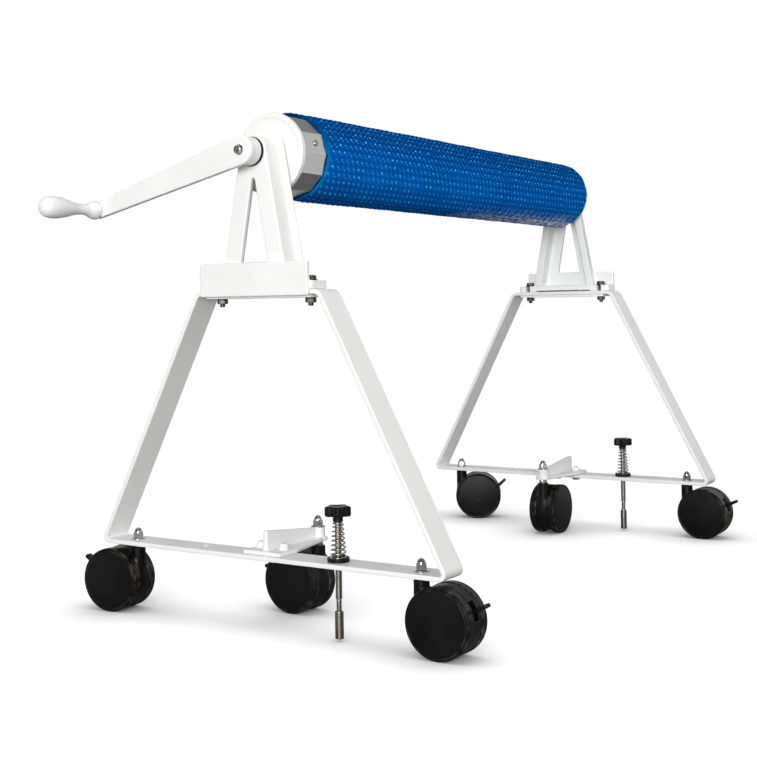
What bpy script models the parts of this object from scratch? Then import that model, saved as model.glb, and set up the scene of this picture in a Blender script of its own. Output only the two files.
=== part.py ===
"""Pool cover reel.

Two bent-bar stands on casters hold a twelve-sided tube between two bushes. A crank winds a
bubble cover onto the tube, and a sprung pin on each stand locks it to an anchor in the deck.
Metres, +Z up. The origin is on the floor midway between the stands, and +X runs along the reel
from the crank end to the far end.
"""

import math

import bmesh
import bpy
from mathutils import Matrix, Vector

# Driving dimensions
STAND_SPAN = 1.056
AXIS_HEIGHT = 0.7225
CLEARANCE = 0.0003
WELD = 0.00001

# Base loop, one flat bar bent to a trapezoid
BAR_WIDTH = 0.050
BAR_THICK = 0.007
LOOP_BOTTOM = 0.109
LOOP_TOP = 0.514
LOOP_FOOT = 0.660
LOOP_HEAD = 0.235
LOOP_FOOT_BEND = 0.0105
LOOP_HEAD_BEND = 0.017
LOOP_SEAM = 0.0008
CASTER_HOLE_Y = 0.270
CASTER_HOLE_RADIUS = 0.0053
PIN_HOLE_Y = 0.128
PIN_HOLE_RADIUS = 0.0072
BRACKET_BOLT_X = -0.008
BRACKET_BOLT_Y = 0.022
UPRIGHT_BOLT_Y = 0.085
BOLT_HOLE_RADIUS = 0.0044
HOLE_SIDES = 12

STRAP_LENGTH = 0.200
STRAP_THICK = 0.0045
STRAP_CORNER = 0.006

# Cast upright, in the stand's frame with x outward from the bar's centre line
WEB_FACE = 0.0275
WEB_THICK = 0.008
WALL_EDGE = -0.007
WALL_THICK = 0.006
LIP_THICK = 0.003
LIP_REACH = 0.009
HEAD_HALF = 0.025
HEAD_RISE = 0.0225
HEAD_CORNER = 0.018
LEG_SPREAD = 0.186
WINDOW_HALF = 0.031
WINDOW_APEX = 0.6954
WINDOW_APEX_RADIUS = 0.0035
PLATE_HALF = 0.1025
PLATE_BOTTOM = 0.505
PLATE_TOP = 0.5555
PLATE_BACK = 0.0255
PLATE_FACE = 0.0328
SHELF_HALF = 0.107
SHELF_THICK = 0.0127
SHELF_EDGE = -0.013
SHELF_CORNER = 0.007
SHELF_RELIEF = 0.0025
SHELF_RELIEF_HALF = 0.065
SLOT_WIDTH = 0.0092
BOSS_RADIUS = 0.021
BOSS_EDGE = -0.004

# Bearing and reel, with distances along the reel measured outward from its middle
BUSH_RADIUS = 0.013
BUSH_FLANGE_RADIUS = 0.0222
BUSH_FLANGE_THICK = 0.0035
JOURNAL_RADIUS = 0.008
TUBE_SIDES = 12
TUBE_RADIUS = 0.0635
TUBE_WALL = 0.0025
TUBE_HALF = 0.5059
PLUG_FACE = 0.514
PLUG_INNER = 0.461
PLUG_SPIGOT_RADIUS = 0.0580
PLUG_SPIGOT_WALL = 0.005
PLUG_HUB_RADIUS = 0.022
PLUG_WEB = 0.014
PLUG_STEPS = 20
PLUG_RINGS = ((0.031, 0.0008), (0.043, 0.0014), (0.055, 0.0))
PLUG_BEVEL = 0.001
AXLE_SPIGOT_RADIUS = 0.010
AXLE_COLLAR_RADIUS = 0.016
AXLE_COLLAR_END = 0.520
FAR_AXLE_FLANGE_RADIUS = 0.014
FAR_AXLE_FLANGE_THICK = 0.002
FAR_AXLE_HEX_RADIUS = 0.0125
FAR_AXLE_HEX_HEIGHT = 0.008

# Wound cover
COVER_NEAR = -0.453
COVER_FAR = 0.500
COVER_START_RADIUS = 0.0641
COVER_THICK = 0.0014
COVER_PITCH = 0.0020
COVER_TURNS = 2.25
COVER_POINTS_PER_TURN = 24
COVER_START_ANGLE = math.radians(180)
COVER_ROUNDING = 0.55

# Crank
CRANK_FACE = 0.586
CRANK_THICK = 0.010
CRANK_HUB_RADIUS = 0.0225
CRANK_DRUM_RADIUS = 0.0213
CRANK_END_RADIUS = 0.013
CRANK_LENGTH = 0.305
CRANK_DROOP = math.radians(14.1)
CRANK_BORE_END = 0.5765
CRANK_BOLT_RADIUS = 0.004
CRANK_BOLT_TIP = 0.554
CRANK_WASHER_RADIUS = 0.0078
CRANK_WASHER_THICK = 0.0016
CRANK_HEX_RADIUS = 0.0068
CRANK_HEX_HEIGHT = 0.005
GRIP_LENGTH = 0.1165
GRIP_SWELL = (
    (1.00, 0.0), (0.985, 0.0075), (0.93, 0.0145), (0.83, 0.0173), (0.70, 0.0168), (0.56, 0.0140),
    (0.43, 0.0102), (0.31, 0.0084), (0.20, 0.0092), (0.12, 0.0130), (0.05, 0.0150), (0.0, 0.0140),
)
GRIP_PIN_RADIUS = 0.004
GRIP_PIN_HEAD_RADIUS = 0.0075
GRIP_PIN_HEAD_THICK = 0.0045
GRIP_BORE_DEPTH = 0.106

# Outrigger bracket, with x outward from the bar's centre line
BOSS_OFFSET = -0.125
BRACKET_FOOT_HALF = 0.035
BRACKET_FOOT_OUT = 0.019
BRACKET_FOOT_IN = -0.024
BRACKET_THICK = 0.006
BRACKET_RIB_THICK = 0.008
BRACKET_RIB_OUT = 0.010
BRACKET_RIB_TOP = 0.152
BRACKET_LIP_RADIUS = 0.015
BRACKET_BOSS_RADIUS = 0.011
BRACKET_BOSS_TOP = 0.138

# Lock pin
PIN_RADIUS = 0.00475
PIN_NECK_RADIUS = 0.004
PIN_SHOULDER = 0.062
PIN_TIP = 0.022
PIN_TOP = 0.191
CUP_RADIUS = 0.0165
CUP_HEIGHT = 0.006
CUP_FLOOR = 0.003
CUP_RIM = 0.0015
SPRING_WIRE = 0.002
SPRING_TOP = 0.1742
SPRING_TOP_RADIUS = 0.007
SPRING_FOOT_RADIUS = 0.012
SPRING_TURNS = 7.5
SPRING_END_TURNS = 0.75
SPRING_END_PITCH = 0.0029
SPRING_POINTS_PER_TURN = 9
SPRING_LEAST_GAP = 0.0004
KNOB_HUB_RADIUS = 0.0075
KNOB_BASE = 0.182
KNOB_TOP = 0.197
KNOB_RADIUS = 0.0175
KNOB_LOBE = 0.0025
KNOB_LOBES = 5
KNOB_POINTS = 30
ANCHOR_RADIUS = 0.00635
ANCHOR_BOTTOM = 0.004
ANCHOR_TOP = 0.044
ANCHOR_BORE = 0.0043
ANCHOR_TIP_BORE = 0.003
ANCHOR_CHAMBER = 0.020
ANCHOR_SLOT = 0.0016
ANCHOR_SLOT_HEIGHT = 0.014

# Caster, in its own frame with the stem on Z and x along the trail
CASTER_TRAIL = 0.038
WHEEL_RADIUS = 0.051
WHEEL_SIDES = 18
WHEEL_OUTER = 0.0305
WHEEL_INNER = 0.0120
WHEEL_DISH_RADIUS = 0.0458
WHEEL_DISH_DROP = 0.0018
WHEEL_GROOVE_RADIUS = 0.0466
WHEEL_GROOVE_DROP = 0.0028
WHEEL_SHOULDER_RADIUS = 0.0490
WHEEL_SHOULDER_DROP = 0.0021
WHEEL_TREAD_DROP = 0.0040
WHEEL_TREAD_EDGE = 0.0015
HALF_AXLE_RADIUS = 0.0044
HOUSING_RADIUS = 0.0500
HOUSING_FLOOR = 0.009
HOUSING_HALF = 0.0112
HOUSING_SIDES = 20
POST_SIDES = 12
POST_RADIUS = 0.0114
POST_BOTTOM = 0.040
POST_TOP = 0.1085
STEM_RADIUS = 0.005
STEM_BOTTOM = 0.065
STEM_WASHER_RADIUS = 0.011
STEM_WASHER_THICK = 0.0015
NUT_RADIUS = 0.0084
NUT_HEIGHT = 0.0085
NUT_DOME_RADIUS = 0.0067
NUT_DOME_HEIGHT = 0.0078
JAM_NUT_BOTTOM = 0.1092
JAM_NUT_TOP = 0.1156
LEVER_PIVOT = (0.040, 0.015)
LEVER_REACH = 0.030
LEVER_HEEL = 0.0045
LEVER_HALF_THICK = 0.0038
LEVER_TIP_HALF_THICK = 0.0030
LEVER_HALF_WIDTH = 0.0068
LEVER_CORNER = 0.002
LEVER_TRUNNION_RADIUS = 0.0025
LEVER_TRUNNION_HALF = 0.0108
LEVER_HOLE_RADIUS = 0.0030
LEVER_SLOT_HALF = 0.0076
LEVER_SLOT_BACK = 0.0065
LEVER_SLOT_BELOW = 0.010
LEVER_SLOT_ABOVE = 0.016

# Casters: stand, place along the bar, on the outrigger or not, and in degrees the heading of the
# trail and the slope at which the brake lever rests
CASTERS = {
    "near_left_caster": (-1, CASTER_HOLE_Y, False, 98.0, 35.0),
    "near_right_caster": (-1, -CASTER_HOLE_Y, False, -88.5, 27.0),
    "near_outrigger_caster": (-1, 0.0, True, 88.0, 0.0),
    "far_left_caster": (1, CASTER_HOLE_Y, False, -62.0, 42.0),
    "far_right_caster": (1, -CASTER_HOLE_Y, False, -88.0, 26.0),
    "far_outrigger_caster": (1, 0.0, True, 2.0, 25.0),
}

# Planes that a flat outline can lie in, as maps from its own x, y and thickness
IN_XY = Matrix.Identity(4)
IN_YZ = Matrix(((0, 0, 1, 0), (1, 0, 0, 0), (0, 1, 0, 0), (0, 0, 0, 1)))
IN_XZ = Matrix(((1, 0, 0, 0), (0, 0, -1, 0), (0, 1, 0, 0), (0, 0, 0, 1)))


def clear_scene():
    """Empty the scene of objects."""
    for obj in list(bpy.data.objects):
        bpy.data.objects.remove(obj, do_unlink=True)


def new_collection(name):
    """A collection linked to the scene."""
    collection = bpy.data.collections.new(name)
    bpy.context.scene.collection.children.link(collection)
    return collection


def new_material(name, colour, roughness, metallic=0.0):
    """A Principled material with one colour, roughness and metallic value."""
    material = bpy.data.materials.new(name)
    material.use_nodes = True
    shader = material.node_tree.nodes["Principled BSDF"]
    shader.inputs["Base Color"].default_value = (*colour, 1.0)
    shader.inputs["Roughness"].default_value = roughness
    shader.inputs["Metallic"].default_value = metallic
    material.diffuse_color = (*colour, 1.0)
    return material


clear_scene()
PARTS = new_collection("pool_cover_reel")
TOOLS = new_collection("cutters")
WHITE_COAT = new_material("white_powder_coat", (0.87, 0.87, 0.86), 0.45)
WHITE_PLASTIC = new_material("white_plastic", (0.90, 0.90, 0.89), 0.35)
BLACK_PLASTIC = new_material("black_nylon", (0.012, 0.012, 0.013), 0.50)
STEEL = new_material("stainless_steel", (0.56, 0.54, 0.51), 0.28, 1.0)
ALUMINIUM = new_material("mill_aluminium", (0.62, 0.63, 0.63), 0.38, 1.0)
BLUE_SHEET = new_material("blue_bubble_sheet", (0.005, 0.13, 0.52), 0.25)


def mesh_of(obj):
    """The evaluated shape of an object as a welded mesh with sharp edges marked; the object goes."""
    bpy.context.scene.collection.objects.link(obj)
    graph = bpy.context.evaluated_depsgraph_get()
    mesh = bpy.data.meshes.new_from_object(obj.evaluated_get(graph))
    bpy.data.objects.remove(obj)
    shape = bmesh.new()
    shape.from_mesh(mesh)
    bmesh.ops.remove_doubles(shape, verts=shape.verts, dist=WELD)
    bmesh.ops.recalc_face_normals(shape, faces=shape.faces)
    shape.to_mesh(mesh)
    shape.free()
    mesh.shade_smooth()
    mesh.set_sharp_from_angle(angle=math.radians(35))
    return mesh


def turned(profile, steps, ring=False):
    """A profile of (radius, height) points, down its outer side, turned about Z."""
    count = len(profile)
    edges = [(index, index + 1) for index in range(count - 1)]
    if ring:
        edges.append((count - 1, 0))
    mesh = bpy.data.meshes.new("profile")
    mesh.from_pydata([(radius, 0, height) for radius, height in profile], edges, [])
    obj = bpy.data.objects.new("profile", mesh)
    screw = obj.modifiers.new("turn", "SCREW")
    screw.steps = steps
    screw.render_steps = steps
    screw.use_merge_vertices = True
    screw.merge_threshold = WELD
    return mesh_of(obj)


def filled(outline, low, high, plane=IN_XY, holes=()):
    """A flat outline with holes, filled and given thickness from low to high across its plane."""
    curve = bpy.data.curves.new("outline", "CURVE")
    curve.dimensions = "2D"
    curve.fill_mode = "BOTH"
    curve.extrude = (high - low) / 2
    for points in (outline, *holes):
        spline = curve.splines.new("POLY")
        spline.points.add(len(points) - 1)
        for spot, (x, y) in zip(spline.points, points):
            spot.co = (x, y, 0, 1)
        spline.use_cyclic_u = True
    mesh = mesh_of(bpy.data.objects.new("outline", curve))
    mesh.transform(plane @ Matrix.Translation((0, 0, (low + high) / 2)))
    return mesh


def rounded(corners, steps=4):
    """An outline through (x, y, radius) corners, each with a radius turned into an arc."""
    points = []
    for index, (x, y, radius) in enumerate(corners):
        corner = Vector((x, y))
        if radius == 0:
            points.append(corner)
            continue
        after = corners[(index + 1) % len(corners)]
        back = (Vector(corners[index - 1][:2]) - corner).normalized()
        ahead = (Vector(after[:2]) - corner).normalized()
        half = back.angle(ahead) / 2
        centre = corner + (back + ahead).normalized() * radius / math.sin(half)
        arm = corner + back * radius / math.tan(half) - centre
        turn = math.copysign(math.pi - 2 * half, back.y * ahead.x - back.x * ahead.y)
        for step in range(steps + 1):
            points.append(centre + Matrix.Rotation(turn * step / steps, 2) @ arm)
    return points


def circle(radius, steps, centre=(0, 0)):
    """Points round a circle."""
    turns = [2 * math.pi * step / steps for step in range(steps)]
    return [(centre[0] + radius * math.cos(t), centre[1] + radius * math.sin(t)) for t in turns]


def box(low, high):
    """A box between two corners."""
    size = Vector(high) - Vector(low)
    middle = (Vector(high) + Vector(low)) / 2
    stretch = Matrix.Translation(middle) @ Matrix.Diagonal((*size, 1))
    return primitive(bmesh.ops.create_cube, stretch, size=1)


def bar(radius, low, high, steps, axis=IN_XY, centre=(0, 0)):
    """A round or many-sided bar from low to high along the axis of a plane, at a centre in it."""
    middle = Matrix.Translation((*centre, (low + high) / 2))
    sizes = {"radius1": radius, "radius2": radius, "depth": high - low, "segments": steps}
    return primitive(bmesh.ops.create_cone, axis @ middle, cap_ends=True, **sizes)


def primitive(operator, matrix, **sizes):
    """A mesh from one of the primitive operators."""
    shape = bmesh.new()
    operator(shape, matrix=matrix, **sizes)
    mesh = bpy.data.meshes.new("primitive")
    shape.to_mesh(mesh)
    shape.free()
    return mesh


def gathered(meshes):
    """Several separate meshes as one, for use as a cutter."""
    shape = bmesh.new()
    for mesh in meshes:
        shape.from_mesh(mesh)
    whole = bpy.data.meshes.new("gathered")
    shape.to_mesh(whole)
    shape.free()
    return whole


def new_empty(name, matrix, parent=None):
    """An empty that carries pieces."""
    empty = bpy.data.objects.new(name, None)
    PARTS.objects.link(empty)
    empty.parent = parent
    empty.matrix_basis = matrix
    return empty


def place(name, data, material, parent, matrix=IN_XY):
    """A named piece under its parent."""
    obj = bpy.data.objects.new(name, data)
    PARTS.objects.link(obj)
    data.materials.clear()
    data.materials.append(material)
    obj.parent = parent
    obj.matrix_basis = matrix
    return obj


def combine(obj, mesh, operation):
    """A Boolean of a piece with a tool mesh that lies in the piece's own frame."""
    tool = bpy.data.objects.new(f"{obj.name}_{operation.lower()}_{len(obj.modifiers)}", mesh)
    TOOLS.objects.link(tool)
    tool.parent = obj.parent
    tool.matrix_basis = obj.matrix_basis
    tool.hide_render = True
    tool.display_type = "WIRE"
    modifier = obj.modifiers.new(tool.name, "BOOLEAN")
    modifier.operation = operation
    modifier.object = tool


def join(obj, *meshes):
    """Fuse shapes to a piece."""
    for mesh in meshes:
        combine(obj, mesh, "UNION")


def cut(obj, *meshes):
    """Cut shapes from a piece."""
    for mesh in meshes:
        combine(obj, mesh, "DIFFERENCE")


def base_loop(name, stand):
    """The bent bar: its outer bends forward and its inner bends back, with a seam at the top."""
    slope = (LOOP_FOOT - LOOP_HEAD) / 2 / (LOOP_TOP - LOOP_BOTTOM)
    inset = BAR_THICK * math.hypot(1, slope)

    def half_at(height):
        return LOOP_HEAD / 2 + slope * (LOOP_TOP - height)

    head_inside = LOOP_TOP - BAR_THICK
    foot_inside = LOOP_BOTTOM + BAR_THICK
    head = half_at(head_inside) - inset
    foot = half_at(foot_inside) - inset
    head_bend = LOOP_HEAD_BEND - BAR_THICK
    foot_bend = LOOP_FOOT_BEND - BAR_THICK
    outside = [
        (-LOOP_SEAM / 2, LOOP_TOP, 0),
        (-LOOP_HEAD / 2, LOOP_TOP, LOOP_HEAD_BEND),
        (-LOOP_FOOT / 2, LOOP_BOTTOM, LOOP_FOOT_BEND),
        (LOOP_FOOT / 2, LOOP_BOTTOM, LOOP_FOOT_BEND),
        (LOOP_HEAD / 2, LOOP_TOP, LOOP_HEAD_BEND),
        (LOOP_SEAM / 2, LOOP_TOP, 0),
    ]
    inside = [
        (LOOP_SEAM / 2, head_inside, 0),
        (head, head_inside, head_bend),
        (foot, foot_inside, foot_bend),
        (-foot, foot_inside, foot_bend),
        (-head, head_inside, head_bend),
        (-LOOP_SEAM / 2, head_inside, 0),
    ]
    mesh = filled(rounded(outside + inside), -BAR_WIDTH / 2, BAR_WIDTH / 2, IN_YZ)
    loop = place(name, mesh, WHITE_COAT, stand)
    low = LOOP_BOTTOM - BAR_THICK
    high = LOOP_BOTTOM + 2 * BAR_THICK
    holes = []
    for side in (-1, 1):
        for x, y, radius in (
            (0, CASTER_HOLE_Y, CASTER_HOLE_RADIUS),
            (0, PIN_HOLE_Y, PIN_HOLE_RADIUS),
            (BRACKET_BOLT_X, BRACKET_BOLT_Y, BOLT_HOLE_RADIUS),
        ):
            holes.append(bar(radius, low, high, HOLE_SIDES, IN_XY, (x, side * y)))
        holes.append(bar(BOLT_HOLE_RADIUS, head_inside - BAR_THICK, LOOP_TOP + BAR_THICK, HOLE_SIDES,
                         IN_XY, (0, side * UPRIGHT_BOLT_Y)))
    cut(loop, gathered(holes))


def splice_strap(name, stand):
    """The strap under the loop's head, drilled for the upright's two bolts."""
    half_length = STRAP_LENGTH / 2
    half_width = BAR_WIDTH / 2
    signs = ((-1, -1), (1, -1), (1, 1), (-1, 1))
    corners = [(x * half_width, y * half_length, STRAP_CORNER) for x, y in signs]
    holes = [circle(BOLT_HOLE_RADIUS, HOLE_SIDES, (0, side * UPRIGHT_BOLT_Y)) for side in (-1, 1)]
    top = LOOP_TOP - BAR_THICK - CLEARANCE
    place(name, filled(rounded(corners, 3), top - STRAP_THICK, top, IN_XY, holes), WHITE_COAT, stand)


def upright_outline(grow, bottom):
    """The upright's tapering outline with a rounded head, set out from the web's edge by grow."""
    rise = AXIS_HEIGHT + HEAD_RISE + grow
    margin = grow * math.hypot(1, LEG_SPREAD)
    foot = HEAD_HALF + LEG_SPREAD * (AXIS_HEIGHT - bottom) + margin
    head = HEAD_HALF - LEG_SPREAD * (rise - AXIS_HEIGHT) + margin
    corner = HEAD_CORNER + grow
    return rounded([(-foot, bottom, 0), (foot, bottom, 0), (head, rise, corner), (-head, rise, corner)], 5)


def upright(name, stand):
    """The cast A-frame: web, side walls, lip, foot plate, slotted shelf and bearing boss."""
    shelf_bottom = LOOP_TOP + CLEARANCE
    shelf_top = shelf_bottom + SHELF_THICK
    buried = shelf_bottom + SHELF_THICK / 2
    piece = place(name, filled(upright_outline(0, buried), WALL_EDGE, WEB_FACE, IN_YZ), WHITE_COAT, stand)
    lip_edge = WALL_EDGE - LIP_THICK
    join(piece, filled(upright_outline(LIP_REACH, buried), lip_edge, WALL_EDGE + CLEARANCE, IN_YZ))
    pocket = upright_outline(-WALL_THICK, buried + CLEARANCE)
    cut(piece, filled(pocket, lip_edge - WALL_THICK, WEB_FACE - WEB_THICK, IN_YZ))
    sill = PLATE_TOP + CLEARANCE
    apex = (0, WINDOW_APEX, WINDOW_APEX_RADIUS)
    window = rounded([(-WINDOW_HALF, sill, 0), (WINDOW_HALF, sill, 0), apex])
    cut(piece, filled(window, WEB_FACE - 2 * WEB_THICK, WEB_FACE + WEB_THICK, IN_YZ))
    shelf_back = (PLATE_BACK + PLATE_FACE) / 2
    shelf = rounded([(SHELF_EDGE, -SHELF_HALF, SHELF_CORNER), (shelf_back, -SHELF_HALF, 0),
                     (shelf_back, SHELF_HALF, 0), (SHELF_EDGE, SHELF_HALF, SHELF_CORNER)], 3)
    join(piece, filled(shelf, shelf_bottom, shelf_top))
    join(piece, box((PLATE_BACK, -PLATE_HALF, PLATE_BOTTOM), (PLATE_FACE, PLATE_HALF, PLATE_TOP)))
    join(piece, bar(BOSS_RADIUS, BOSS_EDGE, WEB_FACE - WEB_THICK / 2, 24, IN_YZ, (0, AXIS_HEIGHT)))
    openings = [bar(BUSH_RADIUS + CLEARANCE, -BAR_WIDTH, BAR_WIDTH, 24, IN_YZ, (0, AXIS_HEIGHT))]
    for side in (-1, 1):
        low = side * UPRIGHT_BOLT_Y - SLOT_WIDTH / 2
        high = side * UPRIGHT_BOLT_Y + SLOT_WIDTH / 2
        end = SLOT_WIDTH / 2
        corner = end - CLEARANCE
        mouth = -BAR_WIDTH
        slot = rounded([(mouth, low, 0), (end, low, corner), (end, high, corner), (mouth, high, 0)])
        openings.append(filled(slot, LOOP_TOP - SHELF_THICK, shelf_top + SHELF_THICK))
    relief_low = (-BAR_WIDTH, -SHELF_RELIEF_HALF, LOOP_TOP - SHELF_THICK)
    relief_high = (PLATE_BACK - CLEARANCE, SHELF_RELIEF_HALF, shelf_bottom + SHELF_RELIEF)
    openings.append(box(relief_low, relief_high))
    cut(piece, gathered(openings))


def bearing_bush(name, stand):
    """A flanged bush pushed into the upright's head from outside."""
    seat = WEB_FACE + CLEARANCE
    bore = JOURNAL_RADIUS + CLEARANCE
    profile = [(bore, seat + BUSH_FLANGE_THICK), (BUSH_FLANGE_RADIUS, seat + BUSH_FLANGE_THICK),
               (BUSH_FLANGE_RADIUS, seat), (BUSH_RADIUS, seat), (BUSH_RADIUS, BOSS_EDGE), (bore, BOSS_EDGE)]
    axis = Matrix.Translation((0, 0, AXIS_HEIGHT)) @ IN_YZ
    place(name, turned(profile, 20, ring=True), BLACK_PLASTIC, stand, axis)


def outrigger(name, stand):
    """The bracket casting: a foot that tapers to a bored boss, with an upstanding rib."""
    base = LOOP_BOTTOM + BAR_THICK + CLEARANCE
    top = base + BRACKET_THICK
    lean = math.radians(70)
    tip = [(BOSS_OFFSET + BRACKET_LIP_RADIUS * math.cos(t), BRACKET_LIP_RADIUS * math.sin(t))
           for t in (lean + (2 * math.pi - 2 * lean) * step / 12 for step in range(13))]
    corner = BRACKET_FOOT_HALF
    foot = [(BRACKET_FOOT_OUT, -corner), (BRACKET_FOOT_OUT, corner), (BRACKET_FOOT_IN, corner)]
    outline = foot + tip + [(BRACKET_FOOT_IN, -corner)]
    spots = [(BRACKET_BOLT_X, side * BRACKET_BOLT_Y) for side in (-1, 1)]
    holes = [circle(BOLT_HOLE_RADIUS, HOLE_SIDES, spot) for spot in spots]
    piece = place(name, filled(outline, base, top, IN_XY, holes), WHITE_COAT, stand)
    buried = base + BRACKET_THICK / 2
    join(piece, bar(BRACKET_BOSS_RADIUS, buried, BRACKET_BOSS_TOP, 20, IN_XY, (BOSS_OFFSET, 0)))
    rib_end = BOSS_OFFSET + CASTER_HOLE_RADIUS
    rib_low = BRACKET_BOSS_TOP - CLEARANCE * 4
    rib_back = [(BRACKET_RIB_OUT, buried), (BRACKET_RIB_OUT, BRACKET_RIB_TOP)]
    rib = [(rib_end, buried), *rib_back, (rib_end, rib_low)]
    join(piece, filled(rib, -BRACKET_RIB_THICK / 2, BRACKET_RIB_THICK / 2, IN_XZ))
    cut(piece, bar(CASTER_HOLE_RADIUS, LOOP_BOTTOM, BRACKET_RIB_TOP, HOLE_SIDES, IN_XY, (BOSS_OFFSET, 0)))


def lock_pin(prefix, spot):
    """The lock pin set on one stand: cup, spring, rod, knob and deck anchor."""
    seat = LOOP_BOTTOM + BAR_THICK + CLEARANCE
    bore = PIN_RADIUS + CLEARANCE
    floor = seat + CUP_FLOOR
    sleeve = PIN_HOLE_RADIUS - CLEARANCE
    recess = CUP_RADIUS - CUP_RIM
    cup = [(recess, seat + CUP_HEIGHT), (CUP_RADIUS, seat + CUP_HEIGHT), (CUP_RADIUS, seat), (sleeve, seat),
           (sleeve, LOOP_BOTTOM), (bore, LOOP_BOTTOM), (bore, floor), (recess, floor)]
    place(f"{prefix}_lock_cup", turned(cup, 16, ring=True), BLACK_PLASTIC, spot)

    wire = SPRING_WIRE / 2
    place_spring(f"{prefix}_lock_spring", spot, floor + CLEARANCE + wire, SPRING_TOP - CLEARANCE - wire)

    rod = [(0, PIN_TOP), (PIN_RADIUS, PIN_TOP), (PIN_RADIUS, PIN_SHOULDER), (PIN_NECK_RADIUS, PIN_SHOULDER),
           (PIN_NECK_RADIUS, PIN_TIP), (0, PIN_TIP)]
    place(f"{prefix}_lock_rod", turned(rod, 12), STEEL, spot)

    outline = []
    for index in range(KNOB_POINTS):
        angle = 2 * math.pi * index / KNOB_POINTS
        radius = KNOB_RADIUS + KNOB_LOBE * math.cos(KNOB_LOBES * angle)
        outline.append((radius * math.cos(angle), radius * math.sin(angle)))
    knob = place(f"{prefix}_lock_knob", filled(outline, KNOB_BASE, KNOB_TOP), BLACK_PLASTIC, spot)
    join(knob, bar(KNOB_HUB_RADIUS, SPRING_TOP, KNOB_BASE + CUP_RIM, 16))
    cut(knob, bar(bore, SPRING_TOP - CUP_RIM, PIN_TOP + CLEARANCE, 16))

    anchor = [(ANCHOR_BORE, ANCHOR_TOP), (ANCHOR_RADIUS, ANCHOR_TOP), (ANCHOR_RADIUS, ANCHOR_BOTTOM),
              (ANCHOR_TIP_BORE, ANCHOR_BOTTOM), (ANCHOR_TIP_BORE, ANCHOR_CHAMBER),
              (ANCHOR_BORE, ANCHOR_CHAMBER)]
    piece = place(f"{prefix}_deck_anchor", turned(anchor, 16, ring=True), STEEL, spot)
    long, thin = 2 * ANCHOR_RADIUS, ANCHOR_SLOT / 2
    low, high = ANCHOR_BOTTOM - thin, ANCHOR_BOTTOM + ANCHOR_SLOT_HEIGHT
    cut(piece, box((-long, -thin, low), (long, thin, high)), box((-thin, -long, low), (thin, long, high)))


def spring_points(low, high):
    """A conical coil from low to high: close end turns, open turns between, and straight wire ends."""
    end_rise = SPRING_END_TURNS * SPRING_END_PITCH
    open_turns = SPRING_TURNS - 2 * SPRING_END_TURNS
    open_pitch = (high - low - 2 * end_rise) / open_turns
    steps = round(SPRING_TURNS * SPRING_POINTS_PER_TURN)
    points = []
    for step in range(steps + 1):
        turn = SPRING_TURNS * step / steps
        foot = min(turn, SPRING_END_TURNS)
        middle = min(max(turn - SPRING_END_TURNS, 0), open_turns)
        head = max(turn - SPRING_END_TURNS - open_turns, 0)
        height = low + (foot + head) * SPRING_END_PITCH + middle * open_pitch
        radius = SPRING_FOOT_RADIUS + (SPRING_TOP_RADIUS - SPRING_FOOT_RADIUS) * turn / SPRING_TURNS
        angle = 2 * math.pi * turn
        points.append(Vector((radius * math.cos(angle), radius * math.sin(angle), height)))
    for spot, side in ((0, -1), (len(points), 1)):
        end = points[0] if side < 0 else points[-1]
        tangent = Vector((-end.y, end.x, 0)).normalized()
        points.insert(spot if side < 0 else len(points), end + side * tangent * SPRING_WIRE)
    return points


def least_gap(points):
    """The least clear space between the wire and itself, past neighbours along it."""
    apart = SPRING_POINTS_PER_TURN // 2
    gap = math.inf
    for index, spot in enumerate(points):
        for other in range(index + apart, len(points) - 1):
            start, end = points[other], points[other + 1]
            along = end - start
            share = min(max((spot - start).dot(along) / along.length_squared, 0), 1)
            gap = min(gap, (spot - start - along * share).length - SPRING_WIRE)
    return gap


def place_spring(name, spot, low, high):
    """The coil as one unbroken tube."""
    points = spring_points(low, high)
    gap = least_gap(points)
    print(f"{name}: least gap to itself {gap * 1000:.2f} mm")
    assert gap > SPRING_LEAST_GAP
    curve = bpy.data.curves.new(name, "CURVE")
    curve.dimensions = "3D"
    curve.bevel_depth = SPRING_WIRE / 2
    curve.bevel_resolution = 1
    curve.use_fill_caps = True
    spline = curve.splines.new("POLY")
    spline.points.add(len(points) - 1)
    for place_at, point in zip(spline.points, points):
        place_at.co = (*point, 1)
    place(name, curve, STEEL, spot)


def stem(name, swivel, seat, jam_nut):
    """A threaded stem with its washer and cap nut, and a jam nut where it stands under a boss."""
    washer_top = seat + STEM_WASHER_THICK
    dome_base = washer_top + NUT_HEIGHT
    profile = [(0, dome_base + NUT_DOME_HEIGHT)]
    for angle in (40, 70, 90):
        turn = math.radians(angle)
        profile.append((NUT_DOME_RADIUS * math.sin(turn), dome_base + NUT_DOME_HEIGHT * math.cos(turn)))
    profile += [(NUT_DOME_RADIUS, washer_top), (STEM_WASHER_RADIUS, washer_top), (STEM_WASHER_RADIUS, seat),
                (STEM_RADIUS, seat), (STEM_RADIUS, STEM_BOTTOM), (0, STEM_BOTTOM)]
    piece = place(name, turned(profile, 12), STEEL, swivel)
    join(piece, bar(NUT_RADIUS, seat + STEM_WASHER_THICK / 2, dome_base, 6))
    if jam_nut:
        join(piece, bar(NUT_RADIUS, JAM_NUT_BOTTOM, JAM_NUT_TOP, 6))


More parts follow.
